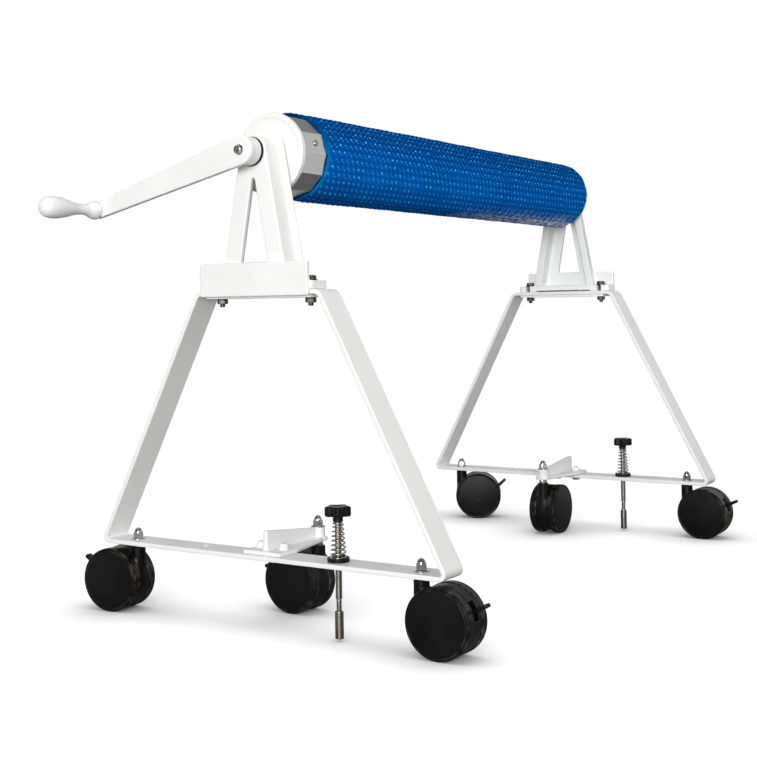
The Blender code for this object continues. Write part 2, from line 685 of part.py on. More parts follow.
def housing(name, swivel):
    """The caster's body: a hood between the wheels, with a post on the swivel axis and a lever slot."""
    axle = (CASTER_TRAIL, WHEEL_RADIUS)
    pivot = (axle[0] + LEVER_PIVOT[0], axle[1] + LEVER_PIVOT[1])
    dip = math.asin((WHEEL_RADIUS - HOUSING_FLOOR) / HOUSING_RADIUS)
    sweep = [-dip + (math.pi + 2 * dip) * step / HOUSING_SIDES for step in range(HOUSING_SIDES + 1)]
    hood = [(axle[0] + HOUSING_RADIUS * math.cos(t), axle[1] + HOUSING_RADIUS * math.sin(t)) for t in sweep]
    piece = place(name, filled(hood, -HOUSING_HALF, HOUSING_HALF, IN_XZ), BLACK_PLASTIC, swivel)
    join(piece, bar(POST_RADIUS, POST_BOTTOM, POST_TOP, POST_SIDES))
    past = 2 * HOUSING_HALF
    slot_low = (pivot[0] - LEVER_SLOT_BACK, -LEVER_SLOT_HALF, pivot[1] - LEVER_SLOT_BELOW)
    slot_high = (pivot[0] + HOUSING_RADIUS, LEVER_SLOT_HALF, pivot[1] + LEVER_SLOT_ABOVE)
    holes = [
        bar(STEM_RADIUS + CLEARANCE, STEM_BOTTOM - CLEARANCE, 2 * POST_TOP, HOLE_SIDES),
        bar(HALF_AXLE_RADIUS + CLEARANCE, -past, past, HOLE_SIDES, IN_XZ, axle),
        box(slot_low, slot_high),
    ]
    cut(piece, *holes, bar(LEVER_HOLE_RADIUS, -past, past, 8, IN_XZ, pivot))


def wheel(name, swivel, side):
    """A dished wheel with its half of the axle, turned about the axle with a flat facet below."""
    flat = math.pi / WHEEL_SIDES
    tread = WHEEL_RADIUS / math.cos(flat)
    profile = [(0, WHEEL_OUTER), (WHEEL_DISH_RADIUS, WHEEL_OUTER - WHEEL_DISH_DROP),
               (WHEEL_GROOVE_RADIUS, WHEEL_OUTER - WHEEL_GROOVE_DROP),
               (WHEEL_SHOULDER_RADIUS, WHEEL_OUTER - WHEEL_SHOULDER_DROP),
               (tread, WHEEL_OUTER - WHEEL_TREAD_DROP), (tread, WHEEL_INNER + WHEEL_TREAD_EDGE),
               (WHEEL_SHOULDER_RADIUS, WHEEL_INNER), (HALF_AXLE_RADIUS, WHEEL_INNER),
               (HALF_AXLE_RADIUS, CLEARANCE), (0, CLEARANCE)]
    axle = Matrix.Translation((CASTER_TRAIL, 0, WHEEL_RADIUS))
    axis = Matrix.Rotation(-side * math.pi / 2, 4, "X") @ Matrix.Rotation(flat, 4, "Z")
    place(name, turned(profile, WHEEL_SIDES), BLACK_PLASTIC, swivel, axle @ axis)


def brake_lever(name, swivel, slope):
    """A paddle on trunnions in the housing, standing out past the wheels' trailing side."""
    sides = [(-LEVER_HEEL, -LEVER_HALF_THICK), (LEVER_REACH, -LEVER_TIP_HALF_THICK),
             (LEVER_REACH, LEVER_TIP_HALF_THICK), (-LEVER_HEEL, LEVER_HALF_THICK)]
    outline = rounded([(x, z, LEVER_CORNER) for x, z in sides], 1)
    paddle = filled(outline, -LEVER_HALF_WIDTH, LEVER_HALF_WIDTH, IN_XZ)
    pivot = (CASTER_TRAIL + LEVER_PIVOT[0], 0, WHEEL_RADIUS + LEVER_PIVOT[1])
    matrix = Matrix.Translation(pivot) @ Matrix.Rotation(-math.radians(slope), 4, "Y")
    piece = place(name, paddle, BLACK_PLASTIC, swivel, matrix)
    join(piece, bar(LEVER_TRUNNION_RADIUS, -LEVER_TRUNNION_HALF, LEVER_TRUNNION_HALF, 8, IN_XZ))


def caster(name, stand_side, along, on_outrigger, heading, lever_slope):
    """One swivelling twin-wheel caster under the bar or the outrigger's boss."""
    x = stand_side * (STAND_SPAN / 2 + (BOSS_OFFSET if on_outrigger else 0))
    turn = Matrix.Rotation(math.radians(heading), 4, "Z")
    swivel = new_empty(f"{name}_swivel", Matrix.Translation((x, along, 0)) @ turn)
    seat = (BRACKET_BOSS_TOP if on_outrigger else LOOP_BOTTOM + BAR_THICK) + CLEARANCE
    stem(f"{name}_stem", swivel, seat, on_outrigger)
    housing(f"{name}_housing", swivel)
    wheel(f"{name}_left_wheel", swivel, 1)
    wheel(f"{name}_right_wheel", swivel, -1)
    brake_lever(f"{name}_brake_lever", swivel, lever_slope)


def end_frame(side, droop=0.0):
    """A frame on the reel's axis whose Z runs out through one end and whose X droops from +Y."""
    out = Vector((side, 0, 0))
    along = Vector((0, math.cos(droop), -math.sin(droop)))
    return Matrix((along, out.cross(along), out)).transposed().to_4x4()


def reel_tube(axis):
    """The twelve-sided tube."""
    inside = TUBE_RADIUS - TUBE_WALL / math.cos(math.pi / TUBE_SIDES)
    bore = circle(inside, TUBE_SIDES)
    mesh = filled(circle(TUBE_RADIUS, TUBE_SIDES), -TUBE_HALF, TUBE_HALF, IN_YZ, [bore])
    place("reel_tube", mesh, ALUMINIUM, axis)


def end_plug(name, axis, side):
    """A ringed disc with a hollow spigot that fits the tube and a hub that holds the axle."""
    bore = AXLE_SPIGOT_RADIUS + CLEARANCE
    cup = PLUG_SPIGOT_RADIUS - PLUG_SPIGOT_WALL
    web = PLUG_FACE - PLUG_WEB
    rim = TUBE_HALF + CLEARANCE
    profile = [(bore, PLUG_FACE)]
    level = PLUG_FACE
    for radius, drop in PLUG_RINGS:
        profile.append((radius, level))
        level = PLUG_FACE - drop
        profile.append((radius + PLUG_BEVEL, level))
    profile += [(TUBE_RADIUS - PLUG_BEVEL, PLUG_FACE), (TUBE_RADIUS, PLUG_FACE - PLUG_BEVEL),
                (TUBE_RADIUS, rim), (PLUG_SPIGOT_RADIUS, rim), (PLUG_SPIGOT_RADIUS, PLUG_INNER),
                (cup, PLUG_INNER), (cup, web), (PLUG_HUB_RADIUS, web), (PLUG_HUB_RADIUS, PLUG_INNER),
                (bore, PLUG_INNER)]
    place(name, turned(profile, PLUG_STEPS, ring=True), WHITE_PLASTIC, axis, end_frame(side))


def near_axle(axis):
    """The driven stub shaft, with a threaded hole for the crank's bolt."""
    end = CRANK_BORE_END - CLEARANCE * 2
    hole = CRANK_BOLT_RADIUS + CLEARANCE
    hole_end = CRANK_BOLT_TIP - CLEARANCE
    shoulder = PLUG_FACE + CLEARANCE
    profile = [(hole, end), (JOURNAL_RADIUS, end), (JOURNAL_RADIUS, AXLE_COLLAR_END),
               (AXLE_COLLAR_RADIUS, AXLE_COLLAR_END), (AXLE_COLLAR_RADIUS, shoulder),
               (AXLE_SPIGOT_RADIUS, shoulder), (AXLE_SPIGOT_RADIUS, PLUG_INNER), (0, PLUG_INNER),
               (0, hole_end), (hole, hole_end)]
    place("near_axle", turned(profile, 16, ring=True), STEEL, axis, end_frame(-1))


def far_axle(axis):
    """A shoulder bolt through the far bush into the plug, with a collar and a hexagon head."""
    seat = STAND_SPAN / 2 + WEB_FACE + BUSH_FLANGE_THICK + 2 * CLEARANCE
    flange = seat + FAR_AXLE_FLANGE_THICK
    shoulder = PLUG_FACE + CLEARANCE
    profile = [(0, flange), (FAR_AXLE_FLANGE_RADIUS, flange), (FAR_AXLE_FLANGE_RADIUS, seat),
               (JOURNAL_RADIUS, seat), (JOURNAL_RADIUS, AXLE_COLLAR_END),
               (AXLE_COLLAR_RADIUS, AXLE_COLLAR_END), (AXLE_COLLAR_RADIUS, shoulder),
               (AXLE_SPIGOT_RADIUS, shoulder), (AXLE_SPIGOT_RADIUS, PLUG_INNER), (0, PLUG_INNER)]
    piece = place("far_axle", turned(profile, 16), STEEL, axis, end_frame(1))
    hex_base = seat + FAR_AXLE_FLANGE_THICK / 2
    join(piece, bar(FAR_AXLE_HEX_RADIUS, hex_base, flange + FAR_AXLE_HEX_HEIGHT, 6))


def crank(axis):
    """The arm with its hub, the bolt that holds it, the grip's pin and the turned grip."""
    frame = end_frame(-1, CRANK_DROOP)
    back = CRANK_FACE - CRANK_THICK
    lean = math.acos((CRANK_HUB_RADIUS - CRANK_END_RADIUS) / CRANK_LENGTH)
    outline = []
    for centre, radius, start, sweep in (
        (0, CRANK_HUB_RADIUS, lean, 2 * (math.pi - lean)),
        (CRANK_LENGTH, CRANK_END_RADIUS, -lean, 2 * lean),
    ):
        for step in range(13):
            angle = start + sweep * step / 12
            outline.append((centre + radius * math.cos(angle), radius * math.sin(angle)))
    arm = place("crank_arm", filled(outline, back, CRANK_FACE), WHITE_COAT, axis, frame)
    hub_end = STAND_SPAN / 2 + WEB_FACE + BUSH_FLANGE_THICK + 2 * CLEARANCE
    join(arm, bar(CRANK_DRUM_RADIUS, hub_end, CRANK_BORE_END, 24))
    cut(arm, bar(JOURNAL_RADIUS + CLEARANCE, hub_end - CRANK_THICK, CRANK_BORE_END, 16),
        bar(CRANK_BOLT_RADIUS + CLEARANCE, back - CRANK_THICK, CRANK_FACE + CRANK_THICK, HOLE_SIDES),
        bar(GRIP_PIN_RADIUS + CLEARANCE, back - CRANK_THICK, CRANK_FACE + CRANK_THICK, HOLE_SIDES,
            IN_XY, (CRANK_LENGTH, 0)))

    seat = CRANK_FACE + CLEARANCE
    washer = seat + CRANK_WASHER_THICK
    profile = [(0, washer), (CRANK_WASHER_RADIUS, washer), (CRANK_WASHER_RADIUS, seat),
               (CRANK_BOLT_RADIUS, seat), (CRANK_BOLT_RADIUS, CRANK_BOLT_TIP), (0, CRANK_BOLT_TIP)]
    bolt = place("crank_bolt", turned(profile, 12), STEEL, axis, frame)
    join(bolt, bar(CRANK_HEX_RADIUS, seat + CRANK_WASHER_THICK / 2, washer + CRANK_HEX_HEIGHT, 6))

    pin_spot = frame @ Matrix.Translation((CRANK_LENGTH, 0, 0))
    grip_seat = CRANK_FACE + CLEARANCE
    pin_end = grip_seat + GRIP_BORE_DEPTH - 2 * CLEARANCE
    head = back - CLEARANCE
    pin = [(0, pin_end), (GRIP_PIN_RADIUS, pin_end), (GRIP_PIN_RADIUS, head), (GRIP_PIN_HEAD_RADIUS, head),
           (GRIP_PIN_HEAD_RADIUS, head - GRIP_PIN_HEAD_THICK), (0, head - GRIP_PIN_HEAD_THICK)]
    place("grip_pin", turned(pin, 12), STEEL, axis, pin_spot)

    bore = GRIP_PIN_RADIUS + CLEARANCE
    grip = [(radius, grip_seat + share * GRIP_LENGTH) for share, radius in GRIP_SWELL]
    depth = grip_seat + GRIP_BORE_DEPTH
    grip += [(bore, grip_seat), (bore, depth), (0, depth)]
    place("handle_grip", turned(grip, 18), WHITE_PLASTIC, axis, pin_spot)


def cover_radius(angle, level):
    """The sheet's radius at an angle: flat over the tube's facets, rounder as the turns build up."""
    radius = COVER_START_RADIUS + COVER_PITCH * level
    facet = 2 * math.pi / TUBE_SIDES
    across = angle % facet - facet / 2
    flat = radius * math.cos(facet / 2) / math.cos(across)
    round_share = COVER_ROUNDING * level / COVER_TURNS
    return flat + (radius - flat) * round_share


def cover_roll(axis):
    """The cover sheet wound on the tube as one spiral strip."""
    steps = round(COVER_TURNS * COVER_POINTS_PER_TURN)
    inside, outside = [], []
    for step in range(steps + 1):
        level = COVER_TURNS * step / steps
        angle = COVER_START_ANGLE - 2 * math.pi * level
        radius = cover_radius(angle, level)
        direction = Vector((math.cos(angle), math.sin(angle)))
        inside.append(direction * radius)
        outside.append(direction * (radius + COVER_THICK))
    place("cover_roll", filled(outside + inside[::-1], COVER_NEAR, COVER_FAR, IN_YZ), BLUE_SHEET, axis)


def stand(prefix, side):
    """One stand, in a frame whose x runs outward along the reel."""
    turn = Matrix.Rotation(math.pi if side < 0 else 0, 4, "Z")
    frame = new_empty(f"{prefix}_stand", Matrix.Translation((side * STAND_SPAN / 2, 0, 0)) @ turn)
    base_loop(f"{prefix}_base_loop", frame)
    splice_strap(f"{prefix}_splice_strap", frame)
    upright(f"{prefix}_upright", frame)
    bearing_bush(f"{prefix}_bearing_bush", frame)
    outrigger(f"{prefix}_outrigger", frame)
    pin_spot = Matrix.Translation((side * STAND_SPAN / 2, -PIN_HOLE_Y, 0))
    lock_pin(prefix, new_empty(f"{prefix}_lock_pin", pin_spot))


def reel():
    """The tube with its plugs, axles, crank and wound cover, on the reel's axis."""
    axis = new_empty("reel_axis", Matrix.Translation((0, 0, AXIS_HEIGHT)))
    reel_tube(axis)
    end_plug("near_end_plug", axis, -1)
    end_plug("far_end_plug", axis, 1)
    near_axle(axis)
    far_axle(axis)
    crank(axis)
    cover_roll(axis)


stand("near", -1)
stand("far", 1)
reel()
for caster_name, layout in CASTERS.items():
    caster(caster_name, *layout)
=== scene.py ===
# %% [markdown]
# # A pool cover reel
# Two bent-bar stands on casters carry a twelve-sided tube with a bubble cover wound on it. The
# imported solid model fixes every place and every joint. This lesson dresses it: each piece is worked
# out again as a finer surface, takes the solid's place, and rides on the same moving body.

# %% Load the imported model
import math

import bmesh
import bpy
import numpy as np
from mathutils import Matrix, Vector

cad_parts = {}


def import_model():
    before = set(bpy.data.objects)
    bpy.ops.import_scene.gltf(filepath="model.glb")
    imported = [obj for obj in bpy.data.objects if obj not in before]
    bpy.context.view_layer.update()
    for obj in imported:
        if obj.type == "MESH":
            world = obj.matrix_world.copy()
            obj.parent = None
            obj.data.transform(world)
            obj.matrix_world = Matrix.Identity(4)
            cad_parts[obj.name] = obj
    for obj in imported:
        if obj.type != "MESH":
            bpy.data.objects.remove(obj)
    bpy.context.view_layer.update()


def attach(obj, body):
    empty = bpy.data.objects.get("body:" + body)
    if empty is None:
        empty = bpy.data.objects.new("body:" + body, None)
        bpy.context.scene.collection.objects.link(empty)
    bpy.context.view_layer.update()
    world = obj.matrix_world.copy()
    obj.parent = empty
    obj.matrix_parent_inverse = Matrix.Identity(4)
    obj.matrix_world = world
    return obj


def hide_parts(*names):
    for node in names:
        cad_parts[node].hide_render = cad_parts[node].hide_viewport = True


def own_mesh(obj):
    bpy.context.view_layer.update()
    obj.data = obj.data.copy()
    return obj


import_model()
SCENE = bpy.context.scene

# %% [markdown]
# ## The camera
# A camera is matched by its focal length in pixels, its place, its three turns and the point where
# its axis meets the picture. Blender states that point as a shift, in shares of the longer side.

# %% Camera
PHOTO_WIDTH, PHOTO_HEIGHT = 757, 758
FOCAL_PIXELS = 1293.1
AXIS_PIXEL = (389.97, 287.87)
SENSOR = 36.0
EYE = Vector((-2.0711, -1.2253, 0.4856))
YAW, PITCH, ROLL = (math.radians(angle) for angle in (32.956, 0.857, -0.897))


def placed(name, data):
    """A named object for some data, in the scene."""
    obj = bpy.data.objects.new(name, data)
    SCENE.collection.objects.link(obj)
    return obj


def camera():
    """A camera whose columns are right, up and back: level ones from yaw and pitch, then rolled."""
    ahead = Vector((math.cos(PITCH) * math.cos(YAW), math.cos(PITCH) * math.sin(YAW), math.sin(PITCH)))
    level = Vector((math.sin(YAW), -math.cos(YAW), 0))
    right = level * math.cos(ROLL) + level.cross(ahead) * math.sin(ROLL)
    data = bpy.data.cameras.new("photo_camera")
    data.sensor_width = SENSOR
    long_side = max(PHOTO_WIDTH, PHOTO_HEIGHT)
    data.lens = FOCAL_PIXELS * SENSOR / long_side
    data.shift_x = (PHOTO_WIDTH / 2 - AXIS_PIXEL[0]) / long_side
    data.shift_y = (AXIS_PIXEL[1] - PHOTO_HEIGHT / 2) / long_side
    turn = Matrix((right, right.cross(ahead), -ahead)).transposed().to_4x4()
    SCENE.camera = placed("photo_camera", data)
    SCENE.camera.matrix_world = Matrix.Translation(EYE) @ turn
    return data


print("lens in mm:", round(camera().lens, 2))

# %% [markdown]
# ## From arrays to pieces
# Every surface below is an array of points and a list of faces. Short functions weld its seams and
# poles, turn its faces outward, mark the hard edges and hand it to the body that it rides on.

# %% Grids and pieces
WELD = 1e-6
GAP = 0.0003
FULL_TURN = 2 * math.pi
QUARTER_TURN = math.pi / 2
HARD, FINE_HARD, CAST_HARD = 35, 25, 60


def coords(*parts):
    """Numbers and arrays, spread to one shape, side by side as the coordinates of points."""
    return np.stack(np.broadcast_arrays(*parts), axis=-1)


def grid_faces(rows, columns, ring=False):
    """Quads between neighbours on a grid that closes across its columns, and its rows too if a ring."""
    row = np.arange(rows if ring else rows - 1)
    a, b = np.meshgrid(row, np.arange(columns), indexing="ij")
    a_next, b_next = (a + 1) % rows, (b + 1) % columns
    quads = coords(a * columns + b, a * columns + b_next, a_next * columns + b_next, a_next * columns + b)
    return quads.reshape(-1, 4)


def shift(x=0, y=0, z=0):
    """The matrix that moves by x, y and z."""
    return Matrix.Translation((x, y, z))


def spun(degrees, axis):
    """The matrix that turns about an axis."""
    return Matrix.Rotation(math.radians(degrees), 4, axis)


def moved(points, matrix):
    """Points carried by a matrix: its turn times each point, plus its place."""
    matrix = np.array(matrix, float)
    return np.asarray(points, float).reshape(-1, 3) @ matrix[:3, :3].T + matrix[:3, 3]


def raw_mesh(name, points, faces):
    """A mesh of these points and faces as they are."""
    mesh = bpy.data.meshes.new(name)
    mesh.from_pydata(np.asarray(points).tolist(), [], faces)
    return mesh


def weld(mesh, closed=True):
    """The mesh with points that share a place made one, and the faces of a closed shape turned outward."""
    shape = bmesh.new()
    shape.from_mesh(mesh)
    bmesh.ops.remove_doubles(shape, verts=shape.verts, dist=WELD)
    if closed:
        bmesh.ops.recalc_face_normals(shape, faces=shape.faces)
        if shape.calc_volume(signed=True) < 0:
            bmesh.ops.reverse_faces(shape, faces=shape.faces)
    shape.to_mesh(mesh)
    shape.free()
    return mesh


def piece(name, mesh, finish, body, replaces=(), hard=HARD):
    """A named object that wears a finish, rides on a body and stands for CAD nodes. Edges that bend by
    more than the degrees given are drawn hard."""
    obj = placed(name, mesh)
    mesh.shade_smooth()
    mesh.set_sharp_from_angle(angle=math.radians(hard))
    mesh.materials.clear()
    mesh.materials.append(FINISHES[finish])
    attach(obj, body)
    if replaces:
        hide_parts(*replaces)
    return obj


def add(name, shape, finish, body, replaces=(), at=None, hard=HARD):
    """A closed shape of points and faces as a piece, carried first by a matrix if one is given."""
    points, faces = shape
    if at is not None:
        points = moved(points, at)
    return piece(name, weld(raw_mesh(name, points, faces)), finish, body, replaces, hard)


def points_of(mesh):
    """A mesh's points as an array."""
    flat = np.empty(len(mesh.vertices) * 3)
    mesh.vertices.foreach_get("co", flat)
    return flat.reshape(-1, 3)


def paint(mesh, name, values, domain="POINT"):
    """Values or vectors for a mesh's points, or its faces' corners, as an attribute that the finish reads."""
    kind, field = ("FLOAT", "value") if values.ndim == 1 else ("FLOAT_VECTOR", "vector")
    mesh.attributes.new(name, kind, domain).data.foreach_set(field, values.astype(np.float32).reshape(-1))


print("hard edges from", HARD, "degrees")

# %% [markdown]
# ## Two ways to sweep a shape
# Nuts, wheels, bushes and grips are turned on a lathe, so a profile turned about an axis gives them.
# A hexagon is the same surface with its radius held back to the flats. Bars, springs and tubes are
# a section carried along a path. The edges of all pieces come from one row of radii, sharp to round.

# %% Profiles, turned shapes and carried sections
KNIFE, CRISP, KEEN, TRIM, SOFT = 0.0002, 0.0003, 0.0004, 0.0005, 0.0006
MILD, BLUNT, DULL, PLUMP = 0.0008, 0.0010, 0.0012, 0.0014
SUPPORT = 1.3
CORNER_STEPS = 5
CORNER_POINTS = CORNER_STEPS + 2


def eased(corners):
    """Outline corners (u, v, reach), each softened to the quadratic curve that leaves its two sides at
    that reach. A further point on each side keeps the flats flat when they are shaded."""
    corners = np.asarray(corners, float)
    spot, reach = corners[:, :2], corners[:, 2:]
    back = np.roll(spot, 1, axis=0) - spot
    ahead = np.roll(spot, -1, axis=0) - spot
    back /= np.maximum(np.linalg.norm(back, axis=1, keepdims=True), WELD)
    ahead /= np.maximum(np.linalg.norm(ahead, axis=1, keepdims=True), WELD)
    start = (spot + back * reach)[:, None]
    end = (spot + ahead * reach)[:, None]
    t = np.linspace(0, 1, CORNER_STEPS)[None, :, None]
    curve = (1 - t) ** 2 * start + 2 * t * (1 - t) * spot[:, None] + t ** 2 * end
    before = (spot + back * reach * SUPPORT)[:, None]
    after = (spot + ahead * reach * SUPPORT)[:, None]
    return np.concatenate([before, curve, after], axis=1).reshape(-1, 2)


def oblong(a, b, edge):
    """A rectangle's outline, a and b its half sides, with soft corners."""
    return eased([(a * u, b * v, edge) for u, v in ((-1, -1), (1, -1), (1, 1), (-1, 1))])


def turned(profile, steps=48, ring=False, flats=None, thread=None):
    """Points (r cos t, r sin t, h) of a profile (r, h) turned about Z.
    Flats, one apothem a for each row, hold r back to a / cos(t - middle of the nearest flat).
    A thread's depths, one for each row, times a raised cosine of h / pitch - t / 360 come off r."""
    profile = np.asarray(profile, float)
    r, height = profile[:, :1], profile[:, 1:2]
    angle = FULL_TURN * np.arange(steps)[None] / steps
    if flats is not None:
        across = angle % (FULL_TURN / 6) - FULL_TURN / 12
        r = np.minimum(r, np.asarray(flats, float)[:, None] / np.cos(across))
    if thread is not None:
        depths, pitch = thread
        r = r - depths[:, None] * (0.5 - 0.5 * np.cos(FULL_TURN * height / pitch - angle))
    points = coords(r * np.cos(angle), r * np.sin(angle), height)
    return points.reshape(-1, 3), grid_faces(len(profile), steps, ring).tolist()


def carried(section, path, across, up):
    """A closed section (a, b) carried along a path: path + a * across + b * up, with its ends capped."""
    section = np.asarray(section, float)
    a, b = section[None, :, :1], section[None, :, 1:]
    points = path[:, None] + a * across[:, None] + b * up[:, None]
    rows, columns = points.shape[:2]
    numbers = np.arange(rows * columns).reshape(rows, columns).tolist()
    return points.reshape(-1, 3), grid_faces(rows, columns).tolist() + [numbers[0][::-1], numbers[-1]]


def circle(radius, steps):
    """Points round a circle."""
    angle = FULL_TURN * np.arange(steps) / steps
    return radius * coords(np.cos(angle), np.sin(angle))


def smooth_through(points, steps):
    """A curve through points: on each stretch the cubic whose end slopes are half the chord between
    the neighbours on either side."""
    points = np.asarray(points, float)
    padded = np.concatenate([2 * points[:1] - points[1:2], points, 2 * points[-1:] - points[-2:-1]])
    p0, p1, p2, p3 = (padded[k:len(padded) - 3 + k, None] for k in range(4))
    t = np.linspace(0, 1, steps, endpoint=False)[None, :, None]
    curve = p1 + 0.5 * t * (p2 - p0 + t * (2 * p0 - 5 * p1 + 4 * p2 - p3 + t * (3 * (p1 - p2) + p3 - p0)))
    return np.concatenate([curve.reshape(-1, points.shape[1]), points[-1:]])


print("points to a soft corner:", CORNER_POINTS)

# %% [markdown]
# ## Castings from distance fields
# The uprights, brackets, knobs, caster bodies and crank arm are castings and mouldings, and what
# shows it is the fillet in each inner corner and the soft outer edge. A distance field gives both:
# it says how far each point of space is from the metal, and one short formula joins or cuts two
# fields with a round of a given radius. The surface is then taken where the field is zero.

# %% Distance fields and their surface
SMALL_FILLET, FILLET, WIDE_FILLET, DEEP_FILLET = 0.002, 0.003, 0.004, 0.005
FAR_AWAY = 1.0
SETTLING_STEPS = 4


def slab(w, low, high):
    """Distance from the layer between low and high."""
    return np.abs(w - (low + high) / 2) - (high - low) / 2


def polygon(u, v, corners):
    """Distance from a polygon: to its nearest edge, and negative where a line to the right crosses it
    an odd number of times."""
    distance = np.full(np.broadcast(u, v).shape, np.inf)
    inside = np.zeros(distance.shape, bool)
    corners = np.asarray(corners, float)
    for (au, av), (bu, bv) in zip(corners, np.roll(corners, -1, axis=0)):
        eu, ev = bu - au, bv - av
        share = np.clip(((u - au) * eu + (v - av) * ev) / (eu * eu + ev * ev), 0, 1)
        distance = np.minimum(distance, np.hypot(u - au - share * eu, v - av - share * ev))
        if ev != 0:
            inside ^= ((av > v) != (bv > v)) & (u < au + (v - av) * eu / ev)
    return np.where(inside, -distance, distance)


def thick(flat, layer, edge=0.0):
    """A flat shape's distance and a layer's distance as one solid whose outer edges have a radius."""
    a, b = flat + edge, layer + edge
    return np.minimum(np.maximum(a, b), 0) + np.hypot(np.maximum(a, 0), np.maximum(b, 0)) - edge


def joined(a, b, fillet):
    """Two solids as one, with a fillet of this radius where they meet."""
    inward = np.hypot(np.maximum(fillet - a, 0), np.maximum(fillet - b, 0))
    return np.maximum(fillet, np.minimum(a, b)) - inward


def cut(a, b, edge):
    """The first solid without the second, with its new edges rounded to this radius."""
    outward = np.hypot(np.maximum(edge + a, 0), np.maximum(edge - b, 0))
    return np.minimum(-edge, np.maximum(a, -b)) + outward


def cast(field, low, high, cell):
    """The surface where a field is zero. Each cell that it crosses gets one point, the mean of the
    crossings on the cell's edges, which then steps along the field's slope onto the surface. Each
    grid line that it crosses gets the quad of the four cells round that line."""
    axes = [np.arange(a - 1.5 * cell, b + 2.5 * cell, cell) for a, b in zip(low, high)]
    origin = np.array([axis[0] for axis in axes])
    values = field(*np.meshgrid(*axes, indexing="ij", sparse=True))
    inside = values < 0
    size = np.array(values.shape) - 1
    corners = coords(*np.meshgrid((0, 1), (0, 1), (0, 1), indexing="ij")).reshape(-1, 3)
    windows = [tuple(slice(c, c + n) for c, n in zip(corner, size)) for corner in corners]
    count = sum(inside[window].astype(np.int8) for window in windows)
    crossed = (count > 0) & (count < 8)
    number = np.full(size, -1)
    number[crossed] = np.arange(crossed.sum())
    at_corner = np.stack([values[window][crossed] for window in windows])
    total = np.zeros((at_corner.shape[1], 3))
    met = np.zeros((at_corner.shape[1], 1))
    for first in range(8):
        for second in range(first + 1, 8):
            if np.abs(corners[first] - corners[second]).sum() == 1:
                a, b = at_corner[first], at_corner[second]
                here = ((a < 0) != (b < 0))[:, None]
                share = (a / np.where(a == b, 1, a - b))[:, None]
                total += np.where(here, corners[first] + share * (corners[second] - corners[first]), 0)
                met += here
    points = origin + cell * (np.argwhere(crossed) + total / met)
    reach = cell / 20
    for _ in range(SETTLING_STEPS):
        ahead = [field(*(points + reach * step).T) for step in np.eye(3)]
        behind = [field(*(points - reach * step).T) for step in np.eye(3)]
        slope = (coords(*ahead) - coords(*behind)) / (2 * reach)
        length = np.maximum((slope ** 2).sum(axis=1, keepdims=True), 0.25)
        points -= np.clip(field(*points.T)[:, None] * slope / length, -cell / 2, cell / 2)
    quads = []
    for axis in range(3):
        order = (axis, (axis + 1) % 3, (axis + 2) % 3)
        inner = np.moveaxis(inside, order, (0, 1, 2))[:, 1:-1, 1:-1]
        cells = np.moveaxis(number, order, (0, 1, 2))
        i, j, k = np.nonzero(inner[:-1] != inner[1:])
        quad = coords(cells[i, j, k], cells[i, j + 1, k], cells[i, j + 1, k + 1], cells[i, j, k + 1])
        quads.append(np.where(inner[i, j, k][:, None], quad, quad[:, ::-1]))
    return points, np.concatenate(quads).tolist()


print("fillets in mm:", [1000 * radius for radius in (SMALL_FILLET, FILLET, WIDE_FILLET, DEEP_FILLET)])

# %% [markdown]
# ## Finishes
# Three effects come back on almost every surface, so each is a shader group: a fine grain that tilts
# the light, cloudy patches where hands and weather have changed the gloss, and lines left by drawing
# metal through a die. Each finish adds its own colour and its own amounts.

# %% Shader groups and finishes


def wire(tree, made, inputs):
    """Each named input of a node given a value or another node's output."""
    for name, value in inputs.items():
        if isinstance(value, bpy.types.NodeSocket):
            tree.links.new(value, made.inputs[name])
        else:
            made.inputs[name].default_value = value


def node(tree, kind, inputs, output=0, **settings):
    """A shader node with its settings made and its inputs wired; gives one of its outputs."""
    made = tree.nodes.new("ShaderNode" + kind)
    for name, value in settings.items():
        setattr(made, name, value)
    wire(tree, made, inputs)
    return made.outputs[output] if len(made.outputs) else None


def ranged(tree, amount, low=0.0, high=1.0, start=0.0, end=1.0, **settings):
    """An amount between start and end spread from low to high, and held there beyond."""
    spread = {"Value": amount, "From Min": start, "From Max": end, "To Min": low, "To Max": high}
    return node(tree, "MapRange", spread, **settings)


def math_of(tree, operation, first, second):
    """Two amounts put together by an operation."""
    return node(tree, "Math", {0: first, 1: second}, operation=operation)


def vector_of(tree, operation, first, second=(0, 0, 0)):
    """Two vectors put together by an operation that gives a vector, or a number where it measures."""
    output = "Value" if operation in ("LENGTH", "DISTANCE", "DOT_PRODUCT") else "Vector"
    return node(tree, "VectorMath", {0: first, 1: second}, output, operation=operation)


def rgba(colour):
    """A colour with its alpha, or another node's output as it is."""
    return (*colour, 1) if isinstance(colour, tuple) else colour


def blended(tree, amount, first, second):
    """One colour passing into another by an amount."""
    return node(tree, "Mix", {0: amount, 6: rgba(first), 7: rgba(second)}, 2, data_type="RGBA")


def painted(tree, name, output="Fac"):
    """What a piece's own attribute says of each point."""
    return node(tree, "Attribute", {}, output, attribute_name=name)


def place_in(tree):
    """A point's place on its object."""
    return node(tree, "TexCoord", {}, "Object")


def shader_group(name, inputs, output, kind):
    """An empty group with float inputs and one output; gives the group, its inputs and its end."""
    tree = bpy.data.node_groups.new(name, "ShaderNodeTree")
    for label, value in inputs.items():
        tree.interface.new_socket(label, in_out="INPUT", socket_type="NodeSocketFloat").default_value = value
    tree.interface.new_socket(output, in_out="OUTPUT", socket_type=kind)
    return tree, tree.nodes.new("NodeGroupInput").outputs, tree.nodes.new("NodeGroupOutput")


